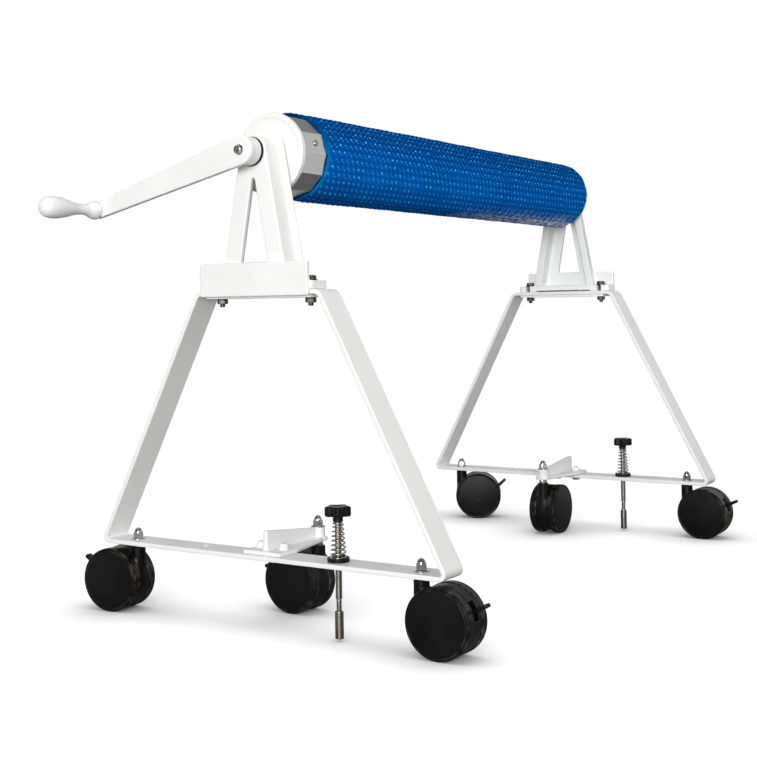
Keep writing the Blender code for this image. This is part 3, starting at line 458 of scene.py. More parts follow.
def grain_group():
    """Fine noise, as the height of a bump in metres."""
    tree, given, end = shader_group("grain", {"Scale": 500.0, "Height": 2e-5}, "Normal", "NodeSocketVector")
    noise = node(tree, "TexNoise", {"Vector": place_in(tree), "Scale": given["Scale"], "Detail": 3.0})
    wire(tree, end, {"Normal": node(tree, "Bump", {"Height": noise, "Distance": given["Height"]})})
    return tree


def noise_group(name, scale, detail, start, end, stretch):
    """Noise on a stretched place, its values between start and end spread from 0 to 1."""
    tree, given, result = shader_group(name, {"Scale": scale}, "Amount", "NodeSocketFloat")
    place = vector_of(tree, "MULTIPLY", place_in(tree), stretch)
    noise = node(tree, "TexNoise", {"Vector": place, "Scale": given["Scale"], "Detail": detail})
    wire(tree, result, {"Amount": ranged(tree, noise, start=start, end=end)})
    return tree


GRAIN = grain_group()
PATCHES = noise_group("patches", 9.0, 6.0, 0.36, 0.68, (1.0, 1.0, 1.0))
DRAWN = noise_group("drawn_lines", 900.0, 2.0, 0.3, 0.7, (0.012, 1.0, 1.0))


def use(tree, group, **inputs):
    """A shader group placed in a material; gives its output."""
    return node(tree, "Group", inputs, node_tree=group)


def new_finish(name):
    """A material and its tree and Principled shader."""
    material = bpy.data.materials.new(name)
    material.use_nodes = True
    return material, material.node_tree, material.node_tree.nodes["Principled BSDF"]


def plain_finish(name, clean, worn, gloss, grain, metallic=0.0, worn_by=PATCHES):
    """Two colours and two roughness values by the patches or the drawn lines, under a grain."""
    material, tree, shader = new_finish(name)
    amount = use(tree, worn_by)
    wire(tree, shader, {
        "Base Color": blended(tree, amount, clean, worn), "Roughness": ranged(tree, amount, *gloss),
        "Normal": use(tree, GRAIN, Scale=grain[0], Height=grain[1]), "Metallic": metallic})
    return material


NYLON, NYLON_WORN = (0.0025, 0.0025, 0.0028), (0.007, 0.007, 0.0074)
NYLON_FLECK, NYLON_SCUFF = (0.028, 0.022, 0.018), (0.120, 0.098, 0.078)
NYLON_SHEEN = 0.18
SATIN = (0.30, 0.44)


def nylon_finish():
    """Black nylon: cloudy, flecked with dust, and scuffed pale where its rims meet the ground."""
    material, tree, shader = new_finish("black_nylon")
    patch = use(tree, PATCHES)
    dust = ranged(tree, use(tree, PATCHES, Scale=900.0), start=0.72, end=1.0)
    rubbed = ranged(tree, use(tree, PATCHES, Scale=70.0), start=0.35, end=0.9)
    scuff = math_of(tree, "MULTIPLY", painted(tree, "rim"), rubbed)
    flecked = blended(tree, dust, blended(tree, patch, NYLON, NYLON_WORN), NYLON_FLECK)
    wire(tree, shader, {
        "Base Color": blended(tree, scuff, flecked, NYLON_SCUFF), "Roughness": ranged(tree, patch, *SATIN),
        "Normal": use(tree, GRAIN, Scale=420.0, Height=6e-5), "Specular IOR Level": NYLON_SHEEN})
    return material


FILM_DEEP, FILM_PALE = (0.0003, 0.106, 0.500), (0.0006, 0.150, 0.620)
# Painted shade: the first of these darkens the blue between the bubbles, the second darkens the top of the
# roll.
FILM_VALLEY_SHADE, FILM_TOP_SHADE = (0.0002, 0.050, 0.265), (0.0001, 0.030, 0.170)
# The first colour is a painted highlight on each bubble; the second is the film's own lighter edge.
FILM_GLINT, FILM_EDGE = (0.080, 0.700, 0.930), (0.002, 0.260, 0.580)
# A painted reflection: near-white glare on the crinkled film.
FILM_GLARE = (0.900, 0.930, 0.940)
SPOT_STRETCH = (0.6, 1.0, 0.0)
GLINT_CENTRE, GLINT_RADIUS = (0.0, 0.0, 0.0), 0.25
LOWER_GLINT_CENTRE, LOWER_GLINT_RADIUS = (0.50, 0.62, 0.0), 0.18
CREASES = {"Scale": 26.0, "Distortion": 5.0, "Detail": 2.0, "Detail Scale": 3.0}


def glint_spot(tree, place, centre, radius, strength):
    """A round painted highlight: a strength inside a radius about a centre, gone a third further out."""
    away = vector_of(tree, "DISTANCE", place, centre)
    return math_of(tree, "MULTIPLY", ranged(tree, away, 1.0, 0.0, radius, radius * 4 / 3), strength)


def film_finish():
    """Blue film: darker or paler in patches, with painted shade between bubbles and on the top of the roll,
    where a third turn also lies under it; lighter at its edges, with painted white glare where it is
    crinkled.
    Each bubble has a painted cyan highlight, and a fainter painted highlight beside it for the bubble of the
    turn below."""
    material, tree, shader = new_finish("blue_film")
    patch = use(tree, PATCHES, Scale=5.0)
    edged = blended(tree, painted(tree, "edge"), blended(tree, patch, FILM_DEEP, FILM_PALE), FILM_EDGE)
    cell = painted(tree, "cell", "Vector")
    shine = node(tree, "SeparateXYZ", {0: cell}, "Z")
    in_cell = vector_of(tree, "MULTIPLY", cell, SPOT_STRETCH)
    # Painted shade between the bubbles, darkest where the cells meet.
    valley_shade = ranged(tree, vector_of(tree, "LENGTH", in_cell), 0.0, 0.35, start=0.45, end=1.1)
    hollow = blended(tree, valley_shade, edged, FILM_VALLEY_SHADE)
    # Painted shade on the top of the roll, over the quarter turn where a third layer of sheet also lies.
    top_shaded = blended(tree, painted(tree, "top_shade"), hollow, FILM_TOP_SHADE)
    # Painted highlights: a bright spot on each bubble and a fainter one beside it for the bubble on the turn
    # below, each as bright as its cell's shine.
    lower = glint_spot(tree, in_cell, LOWER_GLINT_CENTRE, LOWER_GLINT_RADIUS, ranged(tree, shine, 0.60, 0.15))
    upper = glint_spot(tree, in_cell, GLINT_CENTRE, GLINT_RADIUS, shine)
    glinted = blended(tree, upper, blended(tree, lower, top_shaded, FILM_GLINT), FILM_GLINT)
    # Painted glare: near-white streaks on the band low on the side of the pins; the same streaks raise the
    # film's specular there.
    streaks = node(tree, "TexWave", {"Vector": place_in(tree), **CREASES}, "Fac", bands_direction="DIAGONAL")
    sharp_streaks = math_of(tree, "MULTIPLY", streaks, streaks)
    crease_glare = math_of(tree, "MULTIPLY", painted(tree, "glare_band"), sharp_streaks)
    wire(tree, shader, {
        "Base Color": blended(tree, crease_glare, glinted, FILM_GLARE), "Roughness": ranged(tree, patch, *SATIN),
        "Normal": use(tree, GRAIN, Scale=160.0, Height=1.2e-4), "Specular IOR Level": crease_glare})
    return material


FINISHES = {
    "white_coat": plain_finish(
        "white_powder_coat", (0.87, 0.87, 0.865), (0.83, 0.83, 0.82), (0.34, 0.48), (650.0, 1.5e-5)),
    "white_casting": plain_finish(
        "white_coated_casting", (0.87, 0.87, 0.865), (0.82, 0.82, 0.81), (0.38, 0.54), (420.0, 4e-5)),
    "white_plastic": plain_finish(
        "white_moulding", (0.85, 0.85, 0.845), (0.82, 0.82, 0.81), (0.26, 0.40), (900.0, 6e-6)),
    "black_nylon": nylon_finish(),
    "stainless": plain_finish(
        "stainless_steel", (0.52, 0.50, 0.48), (0.43, 0.41, 0.39), (0.14, 0.26), (1500.0, 3e-6), 1.0),
    "pin_steel": plain_finish(
        "pin_steel", (0.44, 0.41, 0.38), (0.34, 0.31, 0.28), (0.20, 0.34), (1400.0, 5e-6), 1.0),
    "dark_steel": plain_finish(
        "plated_steel", (0.060, 0.055, 0.050), (0.034, 0.030, 0.027), (0.26, 0.42), (1200.0, 8e-6), 1.0),
    "mill_aluminium": plain_finish(
        "mill_aluminium", (0.64, 0.65, 0.66), (0.58, 0.59, 0.60), (0.20, 0.27), (1300.0, 3e-6), 1.0, DRAWN),
    "bubble_sheet": film_finish(),
}
print("finishes:", ", ".join(FINISHES))

# %% [markdown]
# ## The stands
# Both stands are alike, so each shape is worked out once, in a frame whose x runs outward from the
# middle of the bar, and placed twice: the near one turned half round.

# %% Base loops and splice straps
HALF_SPAN = 0.528
AXIS_HEIGHT = 0.7225
ENDS = {"near": -1, "far": 1}
STANDS = {"near": shift(-HALF_SPAN) @ spun(180, "Z"), "far": shift(HALF_SPAN)}
BAR_WIDTH, BAR_THICK, BAR_EDGE = 0.050, 0.007, 0.0013
LOOP_BOTTOM, LOOP_TOP = 0.109, 0.514
LOOP_FOOT, LOOP_HEAD = 0.660, 0.235
FOOT_BEND, HEAD_BEND = 0.0105, 0.017
LOOP_SEAM = 0.0008
PIN_HOLE_Y, PIN_HOLE_RADIUS = 0.128, 0.0072
STRAP_LENGTH, STRAP_THICK, STRAP_CORNER = 0.200, 0.0045, 0.006
STRAP_TOP = LOOP_TOP - BAR_THICK - GAP


def unit(vectors):
    """Vectors at length one."""
    return vectors / np.linalg.norm(vectors, axis=-1, keepdims=True)


def bent(corners, steps=10):
    """A path with circular bends at its inner corners (u, v, radius). A bend's centre is radius / sin(half
    angle) along the corner's middle line, and its points turn evenly from one tangent point to the other.
    Gives the points and the direction of travel at each."""
    corners = np.asarray(corners, float)
    spot, radius = corners[1:-1, :2], corners[1:-1, 2:]
    back, ahead = unit(corners[:-2, :2] - spot), unit(corners[2:, :2] - spot)
    half = np.arccos((back * ahead).sum(axis=1, keepdims=True)) / 2
    centre = spot + unit(back + ahead) * radius / np.sin(half)
    arm = spot + back * radius / np.tan(half) - centre
    way = np.sign(back[:, 1:] * ahead[:, :1] - back[:, :1] * ahead[:, 1:])
    angle = way * (math.pi - 2 * half) * np.linspace(0, 1, steps)
    c, s = np.cos(angle), np.sin(angle)
    spoke = coords(c * arm[:, :1] - s * arm[:, 1:], s * arm[:, :1] + c * arm[:, 1:])
    travel = unit(way[:, :, None] * coords(-spoke[..., 1], spoke[..., 0])).reshape(-1, 2)
    points = (centre[:, None] + spoke).reshape(-1, 2)
    points = np.concatenate([corners[:1, :2], points, corners[-1:, :2]])
    return points, np.concatenate([travel[:1], travel, travel[-1:]])


def base_loop():
    """The bar's rounded section carried round its centre line, from one side of the seam to the other."""
    slope = (LOOP_FOOT - LOOP_HEAD) / 2 / (LOOP_TOP - LOOP_BOTTOM)
    middle = BAR_THICK / 2
    inset = middle * math.hypot(1, slope)
    top, low = LOOP_TOP - middle, LOOP_BOTTOM + middle
    head = (LOOP_HEAD / 2 + slope * middle - inset, top, HEAD_BEND - middle)
    foot = (LOOP_FOOT / 2 - slope * middle - inset, low, FOOT_BEND - middle)
    half = [(LOOP_SEAM / 2, top, 0), head, foot]
    line, travel = bent([(-y, z, bend) for y, z, bend in half] + half[::-1])
    across = np.tile((1.0, 0, 0), (len(line), 1))
    up = coords(0, -travel[:, 1], travel[:, 0])
    return carried(oblong(BAR_WIDTH / 2, middle, BAR_EDGE), coords(0, *line.T), across, up)


def drilled(mesh, y, radius, low, high):
    """The mesh with a round hole cut through it along Z, at this y."""
    points, faces = turned([(0, high), (radius, high), (radius, low), (0, low)], steps=32)
    work = placed("work", mesh)
    drill = placed("drill", weld(raw_mesh("drill", moved(points, shift(0, y)), faces)))
    work.modifiers.new("drill", "BOOLEAN").object = drill
    graph = bpy.context.evaluated_depsgraph_get()
    result = bpy.data.meshes.new_from_object(work.evaluated_get(graph))
    for obj in (work, drill):
        bpy.data.objects.remove(obj)
    return result


def strap():
    """A flat bar along Y whose width closes in a quarter circle at each corner."""
    inward = STRAP_CORNER * (1 - np.cos(np.linspace(0, QUARTER_TURN, 7)))
    half = STRAP_LENGTH / 2
    y = np.concatenate([-half + inward, half - inward[::-1]])
    gap = np.clip(STRAP_CORNER - (half - np.abs(y)), 0, STRAP_CORNER)
    short = STRAP_CORNER - np.sqrt(STRAP_CORNER ** 2 - gap ** 2)
    across = coords(1 - short / (BAR_WIDTH / 2), 0, 0)
    path = coords(0, y, STRAP_TOP - STRAP_THICK / 2)
    return carried(oblong(BAR_WIDTH / 2, STRAP_THICK / 2, MILD), path, across, coords(0 * y, 0, 1))


loop_shape, strap_shape = base_loop(), strap()
for end, at in STANDS.items():
    spare = ENDS[end] * PIN_HOLE_Y
    bar = weld(raw_mesh(f"{end}_bar", *loop_shape))
    bar = drilled(bar, spare, PIN_HOLE_RADIUS, LOOP_BOTTOM - BAR_THICK, LOOP_BOTTOM + 2 * BAR_THICK)
    bar.transform(at)
    piece(f"{end}_loop_bar", bar, "white_coat", "stands", [f"{end}_base_loop"])
    add(f"{end}_strap_bar", strap_shape, "white_coat", "stands", [f"{end}_splice_strap"], at)
print("bar outline points:", len(loop_shape[0]))

# %% [markdown]
# The upright is one casting: a web with side walls and a lip round it, a pocket behind, an arched
# window, a foot plate in front and a shelf that sits on the bar. Its field is built in that order.

# %% Uprights and bushes
WEB_FACE, WEB_THICK, WEB_EDGE = 0.0275, 0.008, 0.0022
WALL_EDGE, WALL_THICK, WALL_ROUND = -0.007, 0.006, 0.0016
LIP_EDGE, LIP_REACH, LIP_ROUND = -0.010, 0.009, 0.0011
HEAD_HALF, HEAD_RISE, HEAD_CORNER, LEG_SPREAD = 0.025, 0.0225, 0.018, 0.186
WINDOW_HALF, WINDOW_SILL, WINDOW_APEX, WINDOW_ROUND = 0.031, 0.5558, 0.6954, 0.0035
PLATE_HALF, PLATE_BOTTOM, PLATE_TOP = 0.1025, 0.505, 0.5555
PLATE_BACK, PLATE_FACE, PLATE_FILLET = 0.0255, 0.0328, 0.0025
SHELF_HALF, SHELF_EDGE, SHELF_CORNER, SHELF_THICK = 0.107, -0.013, 0.007, 0.0127
SHELF_BOTTOM = LOOP_TOP + GAP
SHELF_TOP = SHELF_BOTTOM + SHELF_THICK
SHELF_BACK = (PLATE_BACK + PLATE_FACE) / 2
LEGS_BOTTOM = SHELF_BOTTOM + 0.004
RELIEF_HALF, RELIEF_TOP = 0.065, SHELF_BOTTOM + 0.0025
BOLT_Y, SLOT_HALF, SLOT_TOP = 0.085, 0.0046, SHELF_TOP + 0.01
BOSS_RADIUS, BOSS_EDGE, BUSH_BORE = 0.021, -0.004, 0.0133


def upright_field(x, y, z):
    """The casting, in the stand's frame."""
    side = HEAD_CORNER * math.hypot(1, LEG_SPREAD)
    top = AXIS_HEIGHT + HEAD_RISE - HEAD_CORNER
    low = SHELF_BOTTOM - 4 * HEAD_CORNER
    narrow = HEAD_HALF + LEG_SPREAD * (AXIS_HEIGHT - top) - side
    wide = HEAD_HALF + LEG_SPREAD * (AXIS_HEIGHT - low) - side
    flat = polygon(y, z, [(-wide, low), (wide, low), (narrow, top), (-narrow, top)]) - HEAD_CORNER
    body = thick(flat, slab(x, WALL_EDGE, WEB_FACE), WEB_EDGE)
    lip = thick(flat - LIP_REACH, slab(x, LIP_EDGE, WALL_EDGE), LIP_ROUND)
    body = joined(body, lip, FILLET)
    pocket = thick(flat + WALL_THICK, slab(x, -FAR_AWAY, WEB_FACE - WEB_THICK), DEEP_FILLET)
    body = cut(body, pocket, WALL_ROUND)
    lean = math.hypot(1, (WINDOW_APEX - WINDOW_SILL) / WINDOW_HALF)
    corner = WINDOW_HALF - WINDOW_ROUND * (lean + (WINDOW_APEX - WINDOW_SILL) / WINDOW_HALF) / lean
    below, peak = WINDOW_SILL - SHELF_CORNER, WINDOW_APEX - WINDOW_ROUND * lean
    arch = polygon(y, z, [(-corner, below), (corner, below), (0, peak)])
    body = cut(body, np.maximum(arch - WINDOW_ROUND, WINDOW_SILL - z), PLUMP)
    body = np.maximum(body, LEGS_BOTTOM - z)
    shelf = thick(slab(x, SHELF_EDGE, SHELF_BACK), slab(y, -SHELF_HALF, SHELF_HALF), SHELF_CORNER)
    body = joined(body, thick(shelf, slab(z, SHELF_BOTTOM, SHELF_TOP), DULL), WIDE_FILLET)
    plate = thick(slab(y, -PLATE_HALF, PLATE_HALF), slab(z, PLATE_BOTTOM, PLATE_TOP), FILLET)
    body = joined(body, thick(plate, slab(x, PLATE_BACK, PLATE_FACE), PLUMP), PLATE_FILLET)
    ring = np.hypot(y, z - AXIS_HEIGHT)
    boss = thick(ring - BOSS_RADIUS, slab(x, BOSS_EDGE, WEB_FACE - WEB_THICK / 2), BLUNT)
    body = cut(joined(body, boss, FILLET), ring - BUSH_BORE, TRIM)
    slots = np.hypot(np.maximum(x, 0), np.abs(y) - BOLT_Y) - SLOT_HALF
    body = cut(body, np.maximum(slots, slab(z, SHELF_BOTTOM - FAR_AWAY, SLOT_TOP)), MILD)
    relief = thick(slab(y, -RELIEF_HALF, RELIEF_HALF), slab(z, -FAR_AWAY, RELIEF_TOP), SMALL_FILLET)
    return cut(body, np.maximum(relief, x - PLATE_BACK), MILD)


UPRIGHT_LOW = (SHELF_EDGE, -SHELF_HALF, PLATE_BOTTOM)
UPRIGHT_HIGH = (PLATE_FACE, SHELF_HALF, AXIS_HEIGHT + HEAD_RISE + LIP_REACH)
UPRIGHT_CELL, UPRIGHT_QUICK_CELL = 0.0015, 0.0025
upright_shape = cast(
    upright_field, UPRIGHT_LOW, UPRIGHT_HIGH, UPRIGHT_CELL)

FLANGE_RADIUS, FLANGE_THICK = 0.0222, 0.0035
BUSH_RADIUS, JOURNAL_RADIUS = 0.013, 0.008
LIE_ALONG_X = Matrix(((0, 0, 1, 0), (1, 0, 0, 0), (0, 1, 0, 0), (0, 0, 0, 1)))


def bush():
    """The flanged bush, turned round its own axis."""
    seat = WEB_FACE + GAP
    face = seat + FLANGE_THICK
    bore = JOURNAL_RADIUS + GAP
    return turned(eased([
        (bore, face, KEEN), (FLANGE_RADIUS, face, BLUNT), (FLANGE_RADIUS, seat, SOFT),
        (BUSH_RADIUS, seat, CRISP), (BUSH_RADIUS, BOSS_EDGE, TRIM), (bore, BOSS_EDGE, KEEN),
    ]), ring=True)


bush_shape = bush()
for end, at in STANDS.items():
    add(f"{end}_upright_casting", upright_shape, "white_casting", "stands", [f"{end}_upright"], at, CAST_HARD)
    head = at @ shift(0, 0, AXIS_HEIGHT) @ LIE_ALONG_X
    add(f"{end}_bush_ring", bush_shape, "black_nylon", "stands", [f"{end}_bearing_bush"], head)
print("upright points:", len(upright_shape[0]))

# %% Outrigger brackets
BOSS_OUT = -0.125
FOOT_HALF, FOOT_OUT, FOOT_IN = 0.035, 0.019, -0.024
FOOT_BASE = LOOP_BOTTOM + BAR_THICK + GAP
FOOT_TOP = FOOT_BASE + 0.006
RIB_HALF, RIB_OUT, RIB_TOP = 0.004, 0.010, 0.152
TIP_RADIUS, CUP_BOSS_RADIUS, CUP_BOSS_TOP = 0.015, 0.011, 0.138
STEM_HOLE, BRACKET_CELL = 0.0053, 0.0013


def outrigger_field(x, y, z):
    """The bracket: a foot that tapers to a round tip, an upstanding rib and a bored boss."""
    turn = np.radians(np.linspace(70, 290, 13))
    tip = coords(BOSS_OUT + TIP_RADIUS * np.cos(turn), TIP_RADIUS * np.sin(turn)).tolist()
    heel = [(FOOT_IN, -FOOT_HALF), (FOOT_OUT, -FOOT_HALF), (FOOT_OUT, FOOT_HALF), (FOOT_IN, FOOT_HALF)]
    foot = thick(polygon(x, y, heel + tip), slab(z, FOOT_BASE, FOOT_TOP), DULL)
    buried = (FOOT_BASE + FOOT_TOP) / 2
    spot = np.hypot(x - BOSS_OUT, y)
    boss = thick(spot - CUP_BOSS_RADIUS, slab(z, buried, CUP_BOSS_TOP), DULL)
    edge = [(BOSS_OUT, buried), (RIB_OUT, buried), (RIB_OUT, RIB_TOP), (BOSS_OUT, CUP_BOSS_TOP - BLUNT)]
    rib = thick(polygon(x, z, edge), slab(y, -RIB_HALF, RIB_HALF), PLUMP)
    body = joined(joined(foot, rib, FILLET), boss, FILLET)
    return cut(body, np.maximum(spot - STEM_HOLE, slab(z, 0, FAR_AWAY)), KEEN)


BRACKET_LOW, BRACKET_HIGH = (BOSS_OUT - TIP_RADIUS, -FOOT_HALF, FOOT_BASE), (FOOT_OUT, FOOT_HALF, RIB_TOP)
outrigger_shape = cast(outrigger_field, BRACKET_LOW, BRACKET_HIGH, BRACKET_CELL)
for end, at in STANDS.items():
    nodes = [f"{end}_outrigger"]
    add(f"{end}_outrigger_casting", outrigger_shape, "white_casting", "stands", nodes, at, CAST_HARD)
print("bracket points:", len(outrigger_shape[0]))

# %% [markdown]
# Nuts and bolt heads are turned too. Where a hexagon shows, the turned radius is held back to its
# six flats, which leaves the chamfer that a lathe cuts on the corners of a real nut.

# %% Fasteners on the stands
ROUND = 1.0
HEX = math.cos(math.pi / 6)
NUT_CORNER, NUT_CHAMFER = 0.0084, 0.0009
BOLT_RADIUS, BOLT_WASHER_RADIUS = 0.004, 0.0108
SHELF_WASHER, BOLT_HEAD, BOLT_NUT, BOLT_TAIL = 0.0018, 0.0062, 0.0080, 0.0045
BRACKET_BOLT_X, BRACKET_BOLT_Y = -0.008, 0.022
BRACKET_HEAD, BRACKET_CORNER, BRACKET_CROWN = 0.0053, 0.0081, 0.0011
CAP_HOLE, CAP_RISE = 0.0030, 0.0100
CAP_FLARE = (
    (0.0030, 1.0), (0.0046, 0.96), (0.0059, 0.83), (0.0066, 0.60), (0.0071, 0.33), (0.0078, 0.12),
    (0.0090, 0.0),
)


def hexed(rows):
    """A turned shape from rows (radius, height, hexagon's corner radius or 0 for round)."""
    rows = np.asarray(rows, float)
    return turned(rows[:, :2], flats=np.where(rows[:, 2] > 0, rows[:, 2] * HEX, ROUND))


def nut(top, bottom, foot=NUT_CHAMFER):
    """Rows of a nut with a chamfer at its top, and at its foot one of this height."""
    inner = NUT_CORNER - NUT_CHAMFER
    rows = ((inner, top), (NUT_CORNER, top - NUT_CHAMFER), (NUT_CORNER, bottom + foot), (inner, bottom))
    return [(radius, height, NUT_CORNER) for radius, height in rows]


def disc(radius, top, bottom, edge):
    """Rows of a washer or collar with its upper edge cut off."""
    return [(radius - edge, top, 0), (radius, top - edge, 0), (radius, bottom, 0)]


def upright_bolt():
    """A bolt through shelf, bar and strap: head and washer above, nut and thread end below."""
    washer = SHELF_TOP + SHELF_WASHER
    head = washer + BOLT_HEAD
    under = STRAP_TOP - STRAP_THICK
    end = under - BOLT_NUT
    tip = end - BOLT_TAIL
    corner, chamfer = NUT_CORNER, NUT_CHAMFER
    return hexed([
        (0, head, 0), (corner - 2.4 * chamfer, head, corner), (corner - chamfer, head - KEEN, corner),
        (corner, head - chamfer, corner), (corner, washer, corner), (BOLT_WASHER_RADIUS - CRISP, washer, 0),
        (BOLT_WASHER_RADIUS, washer - KEEN, 0), (BOLT_WASHER_RADIUS, SHELF_TOP, 0),
        (BOLT_RADIUS, SHELF_TOP, 0), (BOLT_RADIUS, under, 0), *nut(under, end + CRISP, chamfer - CRISP),
        (BOLT_RADIUS, end, 0), (BOLT_RADIUS, tip + MILD, 0), (BOLT_RADIUS - chamfer, tip, 0), (0, tip, 0),
    ])


def bracket_cap():
    """A white cap: a tall dome that flares at its foot, with a hole in its crown for the bolt's end."""
    side = smooth_through([(radius, FOOT_TOP + CAP_RISE * share) for radius, share in CAP_FLARE], steps=4)
    return turned(np.concatenate([side, [(CAP_HOLE, FOOT_TOP)]]), steps=36, ring=True)


def bracket_bolt():
    """The bolt under a cap: a domed end above the foot and a hexagon head below the bar."""
    crown = FOOT_TOP + CAP_RISE + SOFT
    head = LOOP_BOTTOM - BRACKET_HEAD
    radius, corner = CAP_HOLE - KNIFE, BRACKET_CORNER
    return hexed([
        (0, crown, 0), (radius * 0.6, crown - CRISP, 0), (radius, crown - BRACKET_CROWN, 0),
        (radius, LOOP_BOTTOM, 0), (corner, LOOP_BOTTOM, corner), (corner, head + MILD, corner),
        (corner - DULL, head, corner), (0, head, 0),
    ])


bolt_shape, cap_shape, cap_bolt_shape = upright_bolt(), bracket_cap(), bracket_bolt()
for end, at in STANDS.items():
    for hand, side in (("left", 1), ("right", -1)):
        spot = at @ shift(0, side * BOLT_Y)
        add(f"{end}_{hand}_upright_bolt", bolt_shape, "dark_steel", "stands", (), spot, FINE_HARD)
        spot = at @ shift(BRACKET_BOLT_X, side * BRACKET_BOLT_Y)
        add(f"{end}_{hand}_bracket_cap", cap_shape, "white_plastic", "stands", (), spot)
        add(f"{end}_{hand}_bracket_bolt", cap_bolt_shape, "stainless", "stands", (), spot, FINE_HARD)
print("bolts placed:", 2 * len(STANDS), "through the shelves and", 2 * len(STANDS), "through the brackets")

# %% [markdown]
# ## The lock pins
# A knob on a rod is pressed down against a conical spring that stands in a cup on the bar. The rod's
# threaded neck carries the split anchor that drops into a hole in the deck.

# %% Cups, springs, rods, knobs and anchors
CUP_RADIUS, CUP_RIM, CUP_BASE = 0.0165, 0.0015, LOOP_BOTTOM + BAR_THICK + GAP
CUP_TOP, CUP_FLOOR = CUP_BASE + 0.006, CUP_BASE + 0.003
ROD_RADIUS, NECK_RADIUS, ROD_TOP, ROD_SHOULDER, ROD_TIP = 0.00475, 0.0040, 0.191, 0.062, 0.022
SPRING_WIRE, SPRING_LOW, SPRING_HIGH = 0.0012, 0.1206, 0.1729
SPRING_TURNS, SPRING_END_TURNS, SPRING_END_PITCH = 8.75, 0.75, 0.0029
SPRING_FOOT, SPRING_HEAD = 0.012, 0.007
KNOB_RADIUS, KNOB_LOBE, KNOB_LOBES, LOBE_SLOPE, KNOB_ROUND = 0.0175, 0.0025, 5, 1.25, 0.0028
KNOB_BASE, KNOB_TOP, KNOB_FOOT, KNOB_HUB, KNOB_HUB_TOP = 0.182, 0.197, 0.1742, 0.0075, 0.193
KNOB_FILLET, KNOB_DISH_RISE, KNOB_DISH_SPHERE, KNOB_CELL = 0.0015, 0.0285, 0.030, 0.0008
ANCHOR_RADIUS, ANCHOR_BOTTOM, ANCHOR_TOP, ANCHOR_BORE = 0.00635, 0.004, 0.044, 0.0043
ANCHOR_SLOT, ANCHOR_SLOT_TOP, ANCHOR_CELL = 0.0008, 0.018, 0.0005
ANCHOR_GROOVE, ANCHOR_GROOVE_PITCH, ANCHOR_PLAIN = 0.00008, 0.004, 0.012
THREAD_DEPTH, THREAD_PITCH, THREAD_MARGIN = 0.0004, 0.0015, 0.002


def cup():
    """The cup: a rimmed dish with a sleeve through the bar."""
    bore, sleeve = ROD_RADIUS + GAP, PIN_HOLE_RADIUS - GAP
    recess = CUP_RADIUS - CUP_RIM
    return turned(eased([
        (recess, CUP_TOP, KEEN), (CUP_RADIUS, CUP_TOP, SOFT), (CUP_RADIUS, CUP_BASE, KEEN),
        (sleeve, CUP_BASE, KNIFE), (sleeve, LOOP_BOTTOM, KEEN), (bore, LOOP_BOTTOM, CRISP),
        (bore, CUP_FLOOR, CRISP), (recess, CUP_FLOOR, MILD),
    ]), ring=True)


def spring():
    """A round wire along a conical helix: close turns at both ends and open turns between."""
    turn = np.linspace(0, SPRING_TURNS, round(SPRING_TURNS * 36) + 1)
    open_turns = SPRING_TURNS - 2 * SPRING_END_TURNS
    open_pitch = (SPRING_HIGH - SPRING_LOW - 2 * SPRING_END_TURNS * SPRING_END_PITCH) / open_turns
    middle = np.clip(turn - SPRING_END_TURNS, 0, open_turns)
    height = SPRING_LOW + (turn - middle) * SPRING_END_PITCH + middle * open_pitch
    radius = SPRING_FOOT + (SPRING_HEAD - SPRING_FOOT) * turn / SPRING_TURNS
    out = coords(np.cos(FULL_TURN * turn), np.sin(FULL_TURN * turn), 0)
    path = radius[:, None] * out + coords(0, 0, height)
    travel = unit(np.gradient(path, axis=0))
    return carried(circle(SPRING_WIRE, steps=10), path, out, unit(np.cross(travel, out)))


def rod():
    """The rod, turned, with a thread on the part of its neck that shows above the anchor."""
    screw = np.arange(ROD_SHOULDER - THREAD_MARGIN, ANCHOR_TOP - THREAD_MARGIN, -THREAD_PITCH / 8)
    core = NECK_RADIUS - THREAD_DEPTH
    rows = np.array([
        (0, ROD_TOP, 0), (ROD_RADIUS, ROD_TOP, 0), (ROD_RADIUS, ROD_SHOULDER + SOFT, 0),
        (ROD_RADIUS - SOFT, ROD_SHOULDER, 0), (core, ROD_SHOULDER - KEEN, 0),
        *((NECK_RADIUS, height, THREAD_DEPTH) for height in screw),
        (core, screw[-1] - KEEN, 0), (core, ROD_TIP, 0), (0, ROD_TIP, 0),
    ])
    return turned(rows[:, :2], steps=32, thread=(rows[:, 2], THREAD_PITCH))


def knob_field(x, y, z):
    """The knob: a rounded slab whose outline swells into lobes, on a hub, with a dished top."""
    outline = np.hypot(x, y) - KNOB_RADIUS - KNOB_LOBE * np.cos(KNOB_LOBES * np.arctan2(y, x))
    head = thick(outline / LOBE_SLOPE, slab(z, KNOB_BASE, KNOB_TOP), KNOB_ROUND)
    hub = thick(np.hypot(x, y) - KNOB_HUB, slab(z, KNOB_FOOT, KNOB_HUB_TOP), SOFT)
    dish = np.sqrt(x ** 2 + y ** 2 + (z - KNOB_TOP - KNOB_DISH_RISE) ** 2) - KNOB_DISH_SPHERE
    return cut(joined(head, hub, KNOB_FILLET), dish, MILD)


